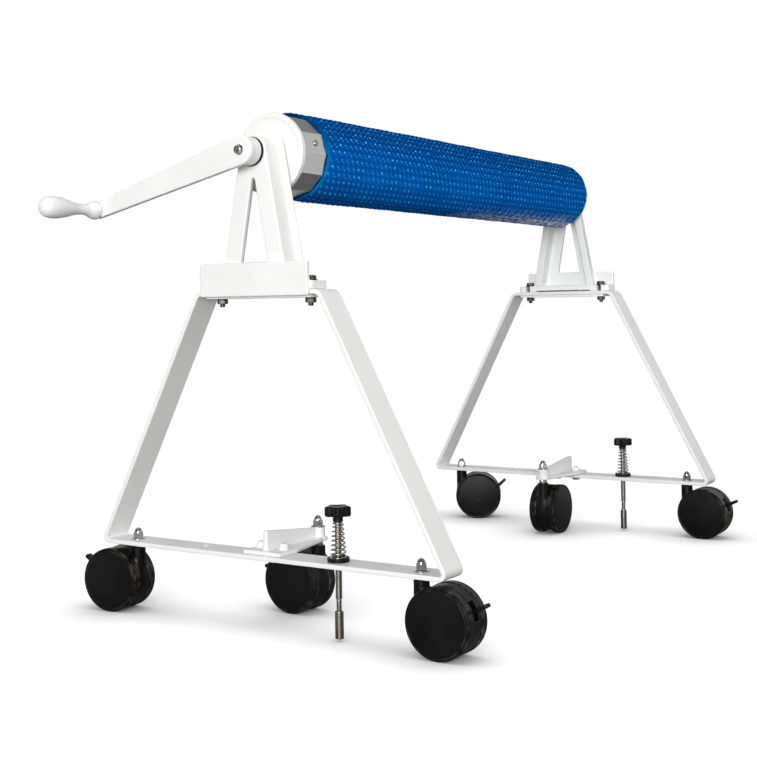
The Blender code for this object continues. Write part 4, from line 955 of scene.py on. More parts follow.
def anchor_field(x, y, z):
    """The anchor: a sleeve split crosswise up from its foot, with shallow grooves round it."""
    ring = np.hypot(x, y)
    wave = 0.5 + 0.5 * np.cos(FULL_TURN * z / ANCHOR_GROOVE_PITCH)
    groove = ANCHOR_GROOVE * wave * (z > ANCHOR_SLOT_TOP + ANCHOR_PLAIN)
    body = thick(ring - ANCHOR_RADIUS + groove, slab(z, ANCHOR_BOTTOM, ANCHOR_TOP), SOFT)
    body = cut(body, np.maximum(ring - ANCHOR_BORE, ANCHOR_SLOT_TOP - z), KEEN)
    slot = np.maximum(np.minimum(np.abs(x), np.abs(y)) - ANCHOR_SLOT, z - ANCHOR_SLOT_TOP)
    return cut(body, slot, CRISP)


def cast_round(field, radius, low, high, cell):
    """The surface of a field within a radius of the Z axis."""
    return cast(field, (-radius, -radius, low), (radius, radius, high), cell)


cup_shape, spring_shape, rod_shape = cup(), spring(), rod()
knob_shape = cast_round(knob_field, KNOB_RADIUS + KNOB_LOBE, KNOB_FOOT, KNOB_TOP, KNOB_CELL)
anchor_shape = cast_round(anchor_field, ANCHOR_RADIUS, ANCHOR_BOTTOM, ANCHOR_TOP, ANCHOR_CELL)
for end, side in ENDS.items():
    x = side * HALF_SPAN
    at = shift(x, -PIN_HOLE_Y)
    add(f"{end}_pin_cup", cup_shape, "black_nylon", "stands", [f"{end}_lock_cup"], at)
    carriage = f"{end}_pin_carriage"
    coil = add(f"{end}_pin_spring", spring_shape, "pin_steel", carriage, [f"{end}_lock_spring"], at)
    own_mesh(coil)
    add(f"{end}_pin_rod", rod_shape, "pin_steel", f"{end}_pin", [f"{end}_lock_rod"], at)
    add(f"{end}_pin_knob", knob_shape, "black_nylon", f"{end}_pin", [f"{end}_lock_knob"], at, CAST_HARD)
    add(f"{end}_pin_anchor", anchor_shape, "pin_steel", f"{end}_pin", [f"{end}_deck_anchor"], at, hard=50)
print("spring turns:", SPRING_TURNS, "knob points:", len(knob_shape[0]))

# %% [markdown]
# ## The casters
# Six alike, apart from where they stand, which way they trail and how far each brake lever is down.

# %% Casters
CASTER_Y, OUTRIGGER_X = 0.270, 0.403
CASTERS = {
    "near_left_caster": (-HALF_SPAN, CASTER_Y, 98.0, 35.0),
    "near_right_caster": (-HALF_SPAN, -CASTER_Y, -88.5, 27.0),
    "near_outrigger_caster": (-OUTRIGGER_X, 0.0, 88.0, 0.0),
    "far_left_caster": (HALF_SPAN, CASTER_Y, -62.0, 42.0),
    "far_right_caster": (HALF_SPAN, -CASTER_Y, -88.0, 26.0),
    "far_outrigger_caster": (OUTRIGGER_X, 0.0, 2.0, 25.0),
}
TRAIL, WHEEL_RADIUS = 0.038, 0.051
WHEEL_OUTER, WHEEL_INNER = 0.0305, 0.0120
DISH_RADIUS, DISH_DROP = 0.0458, 0.0018
GROOVE_RADIUS, GROOVE_DROP = 0.0466, 0.0028
SHOULDER_RADIUS, SHOULDER_DROP = 0.0490, 0.0021
TREAD_DROP, TREAD_EDGE = 0.0040, 0.0015
HUB_RING, HUB_RING_WIDTH, HUB_RING_DEPTH = 0.0076, 0.0005, 0.0002
HALF_AXLE, SCUFF_REACH, GROOVE_SCUFF = 0.0044, 0.0009, 0.35
HOUSING_RADIUS, HOUSING_HALF, HOUSING_FLOOR, HOUSING_CELL = 0.0500, 0.0112, 0.009, 0.0012
POST_RADIUS, POST_BOTTOM, POST_TOP = 0.0114, 0.040, 0.1085
PIVOT_OUT, PIVOT_UP = 0.040, 0.015
SLOT_BACK, SLOT_WIDE, SLOT_BELOW, SLOT_ABOVE = 0.0065, 0.0076, 0.010, 0.016
LEVER_HEEL, LEVER_REACH, LEVER_WIDE = -0.0045, 0.030, 0.0068
LEVER_THICK, LEVER_TIP_THICK, LEVER_EASE, LEVER_SQUARE = 0.0038, 0.0030, 0.0026, 0.42
STEM_RADIUS, STEM_BOTTOM = 0.005, 0.065
STEM_WASHER, STEM_WASHER_THICK = 0.011, 0.0015
CAP_NUT_HEIGHT, CAP_NUT_DOME, CAP_NUT_RISE = 0.0085, 0.0067, 0.0078
JAM_LOW, JAM_HIGH = 0.1092, 0.1156


def bell(value, centre, width):
    """A bell curve: 1 at its centre, falling by e at this width away."""
    return np.exp(-((value - centre) / width) ** 2)


def wheel():
    """A wheel, turned: a crowned face with a fine ring round the hub, a groove, a shoulder and a tread."""
    r = np.linspace(0, DISH_RADIUS, 90)
    ring = HUB_RING_DEPTH * bell(r, HUB_RING, HUB_RING_WIDTH)
    face = coords(r, WHEEL_OUTER - DISH_DROP * (r / DISH_RADIUS) ** 2 - ring)
    rest = eased([
        (DISH_RADIUS, WHEEL_OUTER - DISH_DROP, TRIM), (GROOVE_RADIUS, WHEEL_OUTER - GROOVE_DROP, KEEN),
        (SHOULDER_RADIUS, WHEEL_OUTER - SHOULDER_DROP, BLUNT),
        (WHEEL_RADIUS, WHEEL_OUTER - TREAD_DROP, PLUMP), (WHEEL_RADIUS, WHEEL_INNER + TREAD_EDGE, SOFT),
        (SHOULDER_RADIUS, WHEEL_INNER, TRIM), (HALF_AXLE, WHEEL_INNER, CRISP), (HALF_AXLE, GAP, CRISP),
        (0, GAP, 0), (0, WHEEL_OUTER, 0),
    ])
    return turned(np.concatenate([face[:-1], rest[:-CORNER_POINTS]]), steps=72)


def rim_tone(points):
    """How scuffed a wheel is: 1 at the edges of its tread, less at the groove in its face, 0 elsewhere."""
    radius, height = np.hypot(points[:, 0], points[:, 1]), points[:, 2]
    groove = bell(radius, GROOVE_RADIUS, SCUFF_REACH) * (height > WHEEL_INNER + SCUFF_REACH)
    outer = bell(height, WHEEL_OUTER - TREAD_DROP, SCUFF_REACH)
    inner = bell(height, WHEEL_INNER + TREAD_EDGE, SCUFF_REACH)
    return np.maximum(GROOVE_SCUFF * groove, np.maximum(outer, inner) * (radius > SHOULDER_RADIUS))


def housing_field(x, y, z):
    """The body between the wheels: a hood cut flat below, a post on the swivel axis and a lever slot."""
    flat = np.maximum(np.hypot(x - TRAIL, z - WHEEL_RADIUS) - HOUSING_RADIUS, HOUSING_FLOOR - z)
    hood = thick(flat, slab(y, -HOUSING_HALF, HOUSING_HALF), BLUNT)
    post = thick(np.hypot(x, y) - POST_RADIUS, slab(z, POST_BOTTOM, POST_TOP), BLUNT)
    body = joined(hood, post, WIDE_FILLET)
    out, up = TRAIL + PIVOT_OUT, WHEEL_RADIUS + PIVOT_UP
    height = slab(z, up - SLOT_BELOW, up + SLOT_ABOVE)
    slot = thick(slab(x, out - SLOT_BACK, out + FAR_AWAY), height, SMALL_FILLET)
    return cut(body, np.maximum(slot, slab(y, -SLOT_WIDE, SLOT_WIDE)), BLUNT)


def lever():
    """The paddle: a squared oval section carried outward, closing in a quarter round at both ends."""
    close = np.linspace(0, QUARTER_TURN, 7)
    share = 1 - np.cos(close)
    x = np.concatenate([LEVER_HEEL + LEVER_EASE * share, LEVER_REACH - LEVER_EASE * share[::-1]])
    inset = np.concatenate([1 - np.sin(close), 1 - np.sin(close[::-1])])
    depth = np.interp(x, (LEVER_HEEL, LEVER_REACH), (LEVER_THICK, LEVER_TIP_THICK))
    depth = depth - 0.75 * LEVER_EASE * inset
    oval = circle(1.0, steps=40)
    section = np.sign(oval) * np.abs(oval) ** LEVER_SQUARE
    across, up = coords(0, LEVER_WIDE - LEVER_EASE * inset, 0), coords(0, 0, depth)
    return carried(section, coords(x, 0, 0), across, up)


def stem(seat, jam_nut):
    """A stem with a washer and a cap nut: a dome on a hexagon, and below, at times, a jam nut."""
    washer = seat + STEM_WASHER_THICK
    dome = washer + CAP_NUT_HEIGHT
    angle = np.linspace(0, QUARTER_TURN, 10)
    rows = [(CAP_NUT_DOME * math.sin(a), dome + CAP_NUT_RISE * math.cos(a), 0) for a in angle]
    rows += [*nut(dome, washer, KEEN), *disc(STEM_WASHER, washer, seat, CRISP), (STEM_RADIUS, seat, 0)]
    if jam_nut:
        rows += [(STEM_RADIUS, JAM_HIGH, 0), *nut(JAM_HIGH, JAM_LOW), (STEM_RADIUS, JAM_LOW, 0)]
    return hexed(rows + [(STEM_RADIUS, STEM_BOTTOM, 0), (0, STEM_BOTTOM, 0)])


wheel_shape, lever_shape = wheel(), lever()
HOUSING_LOW = (TRAIL - HOUSING_RADIUS, -POST_RADIUS, HOUSING_FLOOR)
HOUSING_HIGH = (TRAIL + HOUSING_RADIUS, POST_RADIUS, POST_TOP)
housing_shape = cast(housing_field, HOUSING_LOW, HOUSING_HIGH, HOUSING_CELL)
for name, (x, y, heading, slope) in CASTERS.items():
    at = shift(x, y) @ spun(heading, "Z")
    boss = "outrigger" in name
    seat = (CUP_BOSS_TOP if boss else LOOP_BOTTOM + BAR_THICK) + GAP
    add(f"{name}_stem_nut", stem(seat, boss), "stainless", "stands", [f"{name}_stem"], at, FINE_HARD)
    add(f"{name}_body", housing_shape, "black_nylon", f"{name}_swivel", [f"{name}_housing"], at, CAST_HARD)
    axle = at @ shift(TRAIL, 0, WHEEL_RADIUS)
    for hand, turn in (("left", -90), ("right", 90)):
        spin = axle @ spun(turn, "X")
        nodes = [f"{name}_{hand}_wheel"]
        tyre = add(f"{name}_{hand}_tyre", wheel_shape, "black_nylon", f"{name}_wheels", nodes, spin, hard=30)
        paint(tyre.data, "rim", rim_tone(moved(points_of(tyre.data), spin.inverted())))
    pivot = axle @ shift(PIVOT_OUT, 0, PIVOT_UP) @ spun(-slope, "Y")
    nodes = [f"{name}_brake_lever"]
    add(f"{name}_paddle", lever_shape, "black_nylon", f"{name}_brake", nodes, pivot, hard=45)
print("casters:", len(CASTERS), "wheel points:", len(wheel_shape[0]))

# %% [markdown]
# ## The reel
# The tube has twelve flat facets, which the first turn of the cover follows. A round plug closes each
# end and carries an axle. The crank drives the near one, and the far one is a shoulder bolt.

# %% Tube, plugs, axles and screws
TUBE_SIDES, TUBE_RADIUS, TUBE_WALL, TUBE_HALF, TUBE_CORNER = 12, 0.0635, 0.0025, 0.5059, 0.0011
TUBE_APOTHEM = TUBE_RADIUS * math.cos(math.pi / TUBE_SIDES)
PLUG_FACE, PLUG_INNER, PLUG_SPIGOT, PLUG_SHELL = 0.514, 0.461, 0.0580, 0.005
PLUG_WEB, PLUG_STEP, PLUG_HUB = PLUG_FACE - 0.014, 0.0004, 0.022
PLUG_RINGS = ((0.0310, 0), (0.0318, 1), (0.0430, 1), (0.0438, 2), (0.0548, 2), (0.0558, 0))
AXLE_BORE, COLLAR_RADIUS, COLLAR_END, COLLAR_EDGE = 0.0103, 0.016, 0.520, 0.0007
AXLE_SPIGOT, AXLE_SHOULDER = AXLE_BORE - GAP, PLUG_FACE + GAP
CRANK_BORE_END = 0.5765
FAR_SEAT = HALF_SPAN + WEB_FACE + FLANGE_THICK + 2 * GAP
FAR_FLANGE, FAR_FLANGE_THICK = 0.014, 0.002
FAR_HEX, FAR_HEX_HEIGHT, FAR_HEX_FACE = 0.0125, 0.008, 0.0028
SCREW_X, SCREW_RADIUS, SCREW_RISE, SCREW_CROSS = 0.475, 0.0050, 0.0024, 0.0007
SCREW_REACH, SCREW_DEPTH, SCREW_CELL = 0.0024, 0.0013, 0.0003
SCREW_ANGLES = (45, 165, 285)
AXIS = shift(0, 0, AXIS_HEIGHT)


def end_frame(side, droop=0.0):
    """A frame on the reel's axis whose Z runs out through one end and whose X droops from +Y."""
    out = Vector((side, 0, 0))
    along = Vector((0, math.cos(droop), -math.sin(droop)))
    return AXIS @ Matrix((along, out.cross(along), out)).transposed().to_4x4()


def tube():
    """A twelve-sided outline and its bore, both with soft corners, as one closed wall from end to end."""
    radii = (TUBE_RADIUS, TUBE_RADIUS - TUBE_WALL)
    outside, inside = (eased(coords(*circle(radius, TUBE_SIDES).T, TUBE_CORNER)) for radius in radii)
    rim = outside * (1 - KEEN / TUBE_RADIUS)
    rows = ((outside, -TUBE_HALF + KEEN), (outside, TUBE_HALF - KEEN), (rim, TUBE_HALF),
            (inside, TUBE_HALF), (inside, -TUBE_HALF), (rim, -TUBE_HALF))
    points = np.concatenate([coords(x, *outline.T) for outline, x in rows])
    return points, grid_faces(len(rows), len(outside), ring=True).tolist()


def plug():
    """An end plug, turned: a disc with shallow rings in its face, and a hollow spigot behind it."""
    rim = TUBE_HALF + GAP
    shell = PLUG_SPIGOT - PLUG_SHELL
    rings = [(radius, PLUG_FACE - steps * PLUG_STEP, SOFT) for radius, steps in PLUG_RINGS]
    return turned(eased([
        (AXLE_BORE, PLUG_FACE, KEEN), *rings, (TUBE_RADIUS, PLUG_FACE, PLUMP), (TUBE_RADIUS, rim, KEEN),
        (PLUG_SPIGOT, rim, CRISP),
        (PLUG_SPIGOT, PLUG_INNER, SOFT), (shell, PLUG_INNER, SOFT), (shell, PLUG_WEB, BLUNT),
        (PLUG_HUB, PLUG_WEB, BLUNT), (PLUG_HUB, PLUG_INNER, SOFT), (AXLE_BORE, PLUG_INNER, KEEN),
    ]), steps=96, ring=True)


def near_axle():
    """The driven stub: collar, journal and the spigot in the plug."""
    end = CRANK_BORE_END - 2 * GAP
    return turned(eased([
        (0, end, 0), (JOURNAL_RADIUS, end, SOFT), (JOURNAL_RADIUS, COLLAR_END, KEEN),
        (COLLAR_RADIUS, COLLAR_END, COLLAR_EDGE), (COLLAR_RADIUS, AXLE_SHOULDER, KEEN),
        (AXLE_SPIGOT, AXLE_SHOULDER, KNIFE), (AXLE_SPIGOT, PLUG_INNER, TRIM), (0, PLUG_INNER, 0),
    ]))


def far_axle():
    """A shoulder bolt: hexagon head on a flange outside the bush, then journal, collar and spigot."""
    flange = FAR_SEAT + FAR_FLANGE_THICK
    head = flange + FAR_HEX_HEIGHT
    return hexed([
        (0, head, 0), (FAR_HEX - FAR_HEX_FACE, head, FAR_HEX), (FAR_HEX - DULL, head - KEEN, FAR_HEX),
        (FAR_HEX, head - DULL, FAR_HEX), (FAR_HEX, flange, FAR_HEX),
        *disc(FAR_FLANGE, flange, FAR_SEAT, KEEN), (JOURNAL_RADIUS, FAR_SEAT, 0),
        (JOURNAL_RADIUS, COLLAR_END, 0), *disc(COLLAR_RADIUS, COLLAR_END, AXLE_SHOULDER, KEEN),
        (AXLE_SPIGOT, AXLE_SHOULDER, 0),
        (AXLE_SPIGOT, PLUG_INNER, 0), (0, PLUG_INNER, 0),
    ])


def screw_field(x, y, z):
    """A pan head with a cross pressed into it."""
    head = thick(np.hypot(x, y) - SCREW_RADIUS, slab(z, -SOFT, SCREW_RISE), PLUMP)
    low, high = np.minimum(np.abs(x), np.abs(y)), np.maximum(np.abs(x), np.abs(y))
    cross = np.maximum(low - SCREW_CROSS, high - SCREW_REACH)
    return cut(head, np.maximum(cross, SCREW_RISE - SCREW_DEPTH - z), KNIFE)


plug_shape = plug()
screw_shape = cast_round(screw_field, SCREW_RADIUS, -SOFT, SCREW_RISE, SCREW_CELL)
add("reel_tube_wall", tube(), "mill_aluminium", "reel", ["reel_tube"], AXIS, hard=40)
for end, side in ENDS.items():
    at = end_frame(side)
    add(f"{end}_plug_disc", plug_shape, "white_plastic", "reel", [f"{end}_end_plug"], at, FINE_HARD)
add("near_stub_axle", near_axle(), "stainless", "reel", ["near_axle"], end_frame(-1))
add("far_shoulder_bolt", far_axle(), "stainless", "reel", ["far_axle"], end_frame(1), FINE_HARD)
for end, side in ENDS.items():
    for angle in SCREW_ANGLES:
        spot = shift(side * SCREW_X, 0, AXIS_HEIGHT) @ spun(angle - 90, "X") @ shift(0, 0, TUBE_APOTHEM)
        add(f"{end}_tube_screw_{angle}", screw_shape, "stainless", "reel", (), spot, hard=50)
print("tube screws:", 2 * len(SCREW_ANGLES))

# %% [markdown]
# ## The crank
# The arm is a bar between two circles of different size, thickened at the hub. The grip's profile is
# a smooth curve through a few radii along its length.

# %% Crank arm, bolt, pin and grip
CRANK_FACE, CRANK_THICK, CRANK_LENGTH, CRANK_DROOP = 0.586, 0.010, 0.305, math.radians(14.1)
HUB_RADIUS, DRUM_RADIUS, ARM_END_RADIUS, HUB_START = 0.0225, 0.0213, 0.013, FAR_SEAT
ARM_EDGE, ARM_CELL = 0.0016, 0.0014
BOLT_HEX, BOLT_HEX_HEIGHT, BOLT_WASHER, BOLT_WASHER_THICK = 0.0068, 0.005, 0.0078, 0.0016
GRIP_LENGTH, GRIP_PIN, GRIP_HEAD, GRIP_HEAD_THICK, GRIP_PIN_REACH = 0.1165, 0.004, 0.0075, 0.0045, 0.02
GRIP_SWELL = (
    (0.0, 1.00), (0.0075, 0.985), (0.0145, 0.93), (0.0173, 0.83), (0.0168, 0.70), (0.0140, 0.56),
    (0.0102, 0.43), (0.0084, 0.31), (0.0092, 0.20), (0.0130, 0.12), (0.0150, 0.05), (0.0140, 0.0),
)


def tapered(u, v, length, start, end):
    """Distance from a flat bar with two round ends: from its tangent lines, and from an end circle
    beyond them."""
    side, lean = np.abs(v), (start - end) / length
    rise = math.sqrt(1 - lean * lean)
    along = rise * u - lean * side
    line = rise * side + lean * u - start
    outer = np.where(along > rise * length, np.hypot(u - length, v) - end, line)
    return np.where(along < 0, np.hypot(u, v) - start, outer)


def arm_field(u, v, w):
    """The arm, and the round hub that stands back from it to the bush."""
    flat = tapered(u, v, CRANK_LENGTH, HUB_RADIUS, ARM_END_RADIUS) + 0 * w
    arm = thick(flat, slab(w, CRANK_FACE - CRANK_THICK, CRANK_FACE), ARM_EDGE)
    ring = np.hypot(u, v)
    hub = thick(ring - DRUM_RADIUS, slab(w, HUB_START, CRANK_FACE - CRANK_THICK / 2), MILD)
    bore = np.maximum(ring - JOURNAL_RADIUS - GAP, w - CRANK_BORE_END)
    return cut(joined(arm, hub, MILD), bore, KEEN)


def crank_bolt():
    """A washer and a hexagon head with a raised ring on its face."""
    washer, corner = CRANK_FACE + BOLT_WASHER_THICK, BOLT_HEX
    head = washer + BOLT_HEX_HEIGHT
    return hexed([
        (0, head - SOFT, 0), (corner * 0.42, head - SOFT, 0), (corner * 0.5, head, 0),
        (corner - PLUMP, head, corner), (corner - KEEN, head - TRIM, corner), (corner, head - BLUNT, corner),
        (corner, washer, corner), *disc(BOLT_WASHER, washer, CRANK_FACE, CRISP), (0, CRANK_FACE, 0),
    ])


def grip():
    """The grip, turned: its swell smoothed, its foot closed round the pin."""
    foot = CRANK_FACE + GAP
    rows = smooth_through([(radius, foot + share * GRIP_LENGTH) for radius, share in GRIP_SWELL], steps=8)
    rows[:, 0] = np.maximum(rows[:, 0], 0)
    return turned(np.concatenate([rows, [(GRIP_PIN + GAP, foot), (0, foot + BLUNT)]]), steps=64)


def grip_pin():
    """The pin: a shank through the arm and a rounded head behind it."""
    back = CRANK_FACE - CRANK_THICK - GAP
    angle = np.linspace(QUARTER_TURN, 0, 8)
    dome = [(GRIP_HEAD * math.sin(a), back - BLUNT - (GRIP_HEAD_THICK - BLUNT) * math.cos(a)) for a in angle]
    top, head = CRANK_FACE + GRIP_PIN_REACH, back - GRIP_HEAD_THICK
    shank = [(0, top), (GRIP_PIN, top), (GRIP_PIN, back), (GRIP_HEAD, back)]
    return turned([*shank, *dome, (0, head)], steps=36)


crank_frame = end_frame(-1, CRANK_DROOP)
grip_frame = crank_frame @ shift(CRANK_LENGTH)
ARM_LOW = (-HUB_RADIUS, -HUB_RADIUS, HUB_START)
ARM_HIGH = (CRANK_LENGTH + ARM_END_RADIUS, HUB_RADIUS, CRANK_FACE)
arm_shape = cast(arm_field, ARM_LOW, ARM_HIGH, ARM_CELL)
add("crank_bar", arm_shape, "white_casting", "reel", ["crank_arm"], crank_frame, CAST_HARD)
add("crank_hex_bolt", crank_bolt(), "stainless", "reel", ["crank_bolt"], crank_frame, FINE_HARD)
add("grip_rivet", grip_pin(), "stainless", "reel", ["grip_pin"], grip_frame)
add("grip_handle", grip(), "white_plastic", "grip", ["handle_grip"], grip_frame)
print("crank arm points:", len(arm_shape[0]))

# %% [markdown]
# ## The cover
# The sheet is wound 2.25 times round the tube as one spiral. It lies flat over the tube's facets on
# the first turn and grows rounder with each turn. On the outermost turn the bubbles are modelled: a
# lattice of six-sided cells, each with a crown whose height differs a little from the next.

# %% Film and bubbles
COVER_NEAR, COVER_FAR = -0.453, 0.500
COVER_START, COVER_PITCH, COVER_TURNS = 0.0641, 0.0020, 2.25
COVER_ANGLE, COVER_ROUNDING = math.pi, 0.55
FILM_ROWS, FILM_COLUMNS, FILM_CROWDING = 217, 81, 1.5
FILM_THICK, BUBBLE_CLEAR, END_TURNS = 0.0006, 0.00014, 0.06
EDGE_STEP, EDGE_LENGTH, EDGE_BUILD = 0.004, 0.030, 0.40
SLANT_ANGLE, SLANT_WIDTH, SLANT_REACH = math.radians(88), math.radians(26), 0.026
RIPPLE, RIPPLE_WAVES = 0.00035, ((37, 5, 0), (23, -3, 1))
BUBBLE_PITCH, BUBBLE_RADIUS, BUBBLE_RISE = 0.0138, 0.0051, 0.0012
BUBBLE_ROWS = 36
# How bright each bubble's painted highlight is, at random.
BUBBLE_HEIGHTS, BUBBLE_SHINE = (0.55, 1.0), (0.25, 0.95)
CELL_RINGS = ((0.30, 0.93), (0.62, 0.64), (0.95, 0.0))
# Where the painted glare lies on the roll, and how it grows towards the far end.
GLARE_ANGLE, GLARE_WIDTH, GLARE_FROM, GLARE_FULL = math.radians(254), math.radians(15), 0.00, 0.42
# Painted shade on the top of the roll: how much it darkens the blue at each angle round the axis.
TOP_SHADE_SPAN, TOP_SHADE_TONES = np.radians((72, 84, 145, 200)), (0, 0.9, 0.75, 0)
rng = np.random.default_rng(12)


def slant(angle):
    """How far the near edge is on the top of the tube: 1 there and 0 round the rest of it."""
    return bell(angle % FULL_TURN, SLANT_ANGLE, SLANT_WIDTH)


def near_edge(level):
    """Where the sheet's near edge is after a number of turns: a little further in with each turn, and
    drawn out towards the plug on the top of the tube."""
    return COVER_NEAR + EDGE_STEP * level / COVER_TURNS - SLANT_REACH * slant(COVER_ANGLE - FULL_TURN * level)


def on_cover(x, level, lift):
    """Points on the spiral at x, after a number of turns, lifted from it. The radius passes from the tube's
    flats, r cos(15 degrees) / cos(angle from the facet's middle), towards r as the turns build up, and the
    turns draw together at the near edge, where they are pulled tight, except on the top. The sheet's end
    settles on the turn below it."""
    angle = COVER_ANGLE - FULL_TURN * level
    build = np.interp(x - COVER_NEAR, (0, EDGE_LENGTH), (EDGE_BUILD, 1))
    spacing = COVER_PITCH * np.maximum(build, slant(angle))
    settled = np.clip(1 + (level - COVER_TURNS) / END_TURNS, 0, 1) ** 2
    radius = COVER_START + spacing * level - settled * (spacing - FILM_THICK - BUBBLE_CLEAR)
    facet = FULL_TURN / TUBE_SIDES
    flat = radius * math.cos(facet / 2) / np.cos(angle % facet - facet / 2)
    radius = flat + (radius - flat) * COVER_ROUNDING * level / COVER_TURNS
    ripple = RIPPLE * np.minimum(level, 1)
    for along, around, start in RIPPLE_WAVES:
        ripple = ripple * np.sin(along * x + around * angle + start)
    radius = radius + ripple + lift
    return coords(x, radius * np.cos(angle), AXIS_HEIGHT + radius * np.sin(angle))


def film():
    """The sheet as a grid of turns and places along the reel, closer together at its near edge."""
    turns, shares = np.linspace(0, COVER_TURNS, FILM_ROWS), np.linspace(0, 1, FILM_COLUMNS) ** FILM_CROWDING
    level, share = np.meshgrid(turns, shares, indexing="ij")
    near = near_edge(level)
    points = on_cover(near + (COVER_FAR - near) * share, level, 0.0)
    quads = grid_faces(FILM_ROWS, FILM_COLUMNS).reshape(-1, FILM_COLUMNS, 4)[:, :-1]
    return points.reshape(-1, 3), quads.reshape(-1, 4).tolist()


def edge_tone(points):
    """1 at both edges and 0 further in."""
    ends = (COVER_NEAR, COVER_NEAR + EDGE_LENGTH / 3, COVER_FAR - EDGE_LENGTH / 6, COVER_FAR)
    return np.interp(points[:, 0], ends, (1, 0, 0, 1))


def angle_of(points):
    """How far round the reel's axis points are, from +Y over the top."""
    return np.arctan2(points[:, 2] - AXIS_HEIGHT, points[:, 1]) % FULL_TURN


def top_shade_tone(points):
    """How much painted shade darkens the blue on the top of the roll: most on the quarter turn where the
    sheet's end also makes a third layer, and 0 round the rest."""
    return np.interp(angle_of(points), TOP_SHADE_SPAN, TOP_SHADE_TONES)


def glare_tone(points):
    """A band of painted glare low on the side of the pins, growing towards the far end."""
    band = bell(angle_of(points), GLARE_ANGLE, GLARE_WIDTH)
    return band * np.interp(points[:, 0], (GLARE_FROM, GLARE_FULL), (0, 1))


def bubbles():
    """The bubbled outer turn. Each cell of a six-sided lattice is a crown, three rings of six and six
    corners that it shares in place with its neighbours. With the points come each one's place in its
    cell, in bubble radii, and the brightness of its cell's painted highlight."""
    row = np.arange(BUBBLE_ROWS)[:, None]
    columns = int((COVER_FAR - COVER_NEAR + SLANT_REACH) / BUBBLE_PITCH)
    last = COVER_FAR - 0.75 * BUBBLE_PITCH
    x = last - np.arange(columns)[None] * BUBBLE_PITCH + BUBBLE_PITCH / 4 * np.where(row % 2, 1, -1)
    level = COVER_TURNS - (row + 0.5) / BUBBLE_ROWS + 0 * x
    kept = x > near_edge(level) + 0.2 * BUBBLE_RADIUS
    x, level = x[kept][:, None], level[kept][:, None]
    corner = math.radians(30) + FULL_TURN * np.arange(6) / 6
    row_gap = FULL_TURN * COVER_START / BUBBLE_ROWS
    reach = BUBBLE_RADIUS * np.array([[share] for share, _ in CELL_RINGS])
    across = np.concatenate([[0], *(reach * np.cos(corner)), BUBBLE_PITCH / math.sqrt(3) * np.cos(corner)])
    around = np.concatenate([[0], *(reach * np.sin(corner)), row_gap * 2 / 3 * np.sin(corner)])
    rise = np.concatenate([[1], np.repeat([height for _, height in CELL_RINGS], 6), np.zeros(6)])
    height = BUBBLE_RISE * rng.uniform(*BUBBLE_HEIGHTS, x.shape)
    shine = rng.uniform(*BUBBLE_SHINE, x.shape) ** 2
    turns = level - around / row_gap / BUBBLE_ROWS
    along = np.maximum(x + across, near_edge(turns))
    points = on_cover(along, turns, FILM_THICK + BUBBLE_CLEAR + height * rise)
    cell = coords(across / BUBBLE_RADIUS, around / BUBBLE_RADIUS, shine)
    first = np.arange(x.size)[:, None, None] * len(across)
    k = np.arange(6)
    fan = first + coords(0, 1 + k, 1 + (k + 1) % 6)
    belts = first + 1 + grid_faces(len(CELL_RINGS) + 1, 6)[:, ::-1]
    faces = fan.reshape(-1, 3).tolist() + belts.reshape(-1, 4).tolist()
    return points.reshape(-1, 3), faces, cell.reshape(-1, 3)


film_mesh = weld(raw_mesh("cover_film", *film()), closed=False)
cell_points, bubble_faces, cells = bubbles()
bubble_mesh = raw_mesh("cover_bubbles", cell_points, bubble_faces)
paint(bubble_mesh, "cell", cells[np.concatenate(bubble_faces)], "CORNER")
weld(bubble_mesh, closed=False)
bubble_points = points_of(bubble_mesh)
# The band of painted glare on the bubbled turn.
paint(bubble_mesh, "glare_band", glare_tone(bubble_points))
for mesh in (film_mesh, bubble_mesh):
    paint(mesh, "edge", edge_tone(points_of(mesh)))
    # Both meshes get their painted shade on the top of the roll.
    paint(mesh, "top_shade", top_shade_tone(points_of(mesh)))
cover = piece("cover_film", film_mesh, "bubble_sheet", "reel", ["cover_roll"])
shell = cover.modifiers.new("thickness", "SOLIDIFY")
shell.thickness = FILM_THICK
shell.offset = 1.0
bubble_film = piece("cover_bubbles", bubble_mesh, "bubble_sheet", "reel", (), hard=80)

# %% [markdown]
# ## Floor, light and the finish
# The photograph has a white ground and soft light from the crank's side.

# %% Floor, world and lamps
FLOOR_HALF = 12.0
FLOOR_BOUNCE, FLOOR_SEEN = (0.26, 0.26, 0.26), (0.8, 0.8, 0.8)
FLOOR_GLOW, FLOOR_AWAY, FLOOR_MIRRORED = 0.60, 0.15, 0.62
FADE_FROM, FADE_TO = 0.9, 1.7
CONTACT_REACH, CONTACT_DEPTH, CONTACT_SAMPLES = 0.13, 1.9, 12
AMBIENT, ZENITH, ZENITH_UP = 0.64, 0.22, 0.9
MIRRORED, MIRRORED_ZENITH, MIRRORED_ROOM, BACKDROP = 0.85, 0.22, 0.30, (0.84, 0.54, 0.0)
BAND_FROM, BAND_TO = 0.36, 0.60
ROOM_FROM, ROOM_TO = -0.2, 0.4


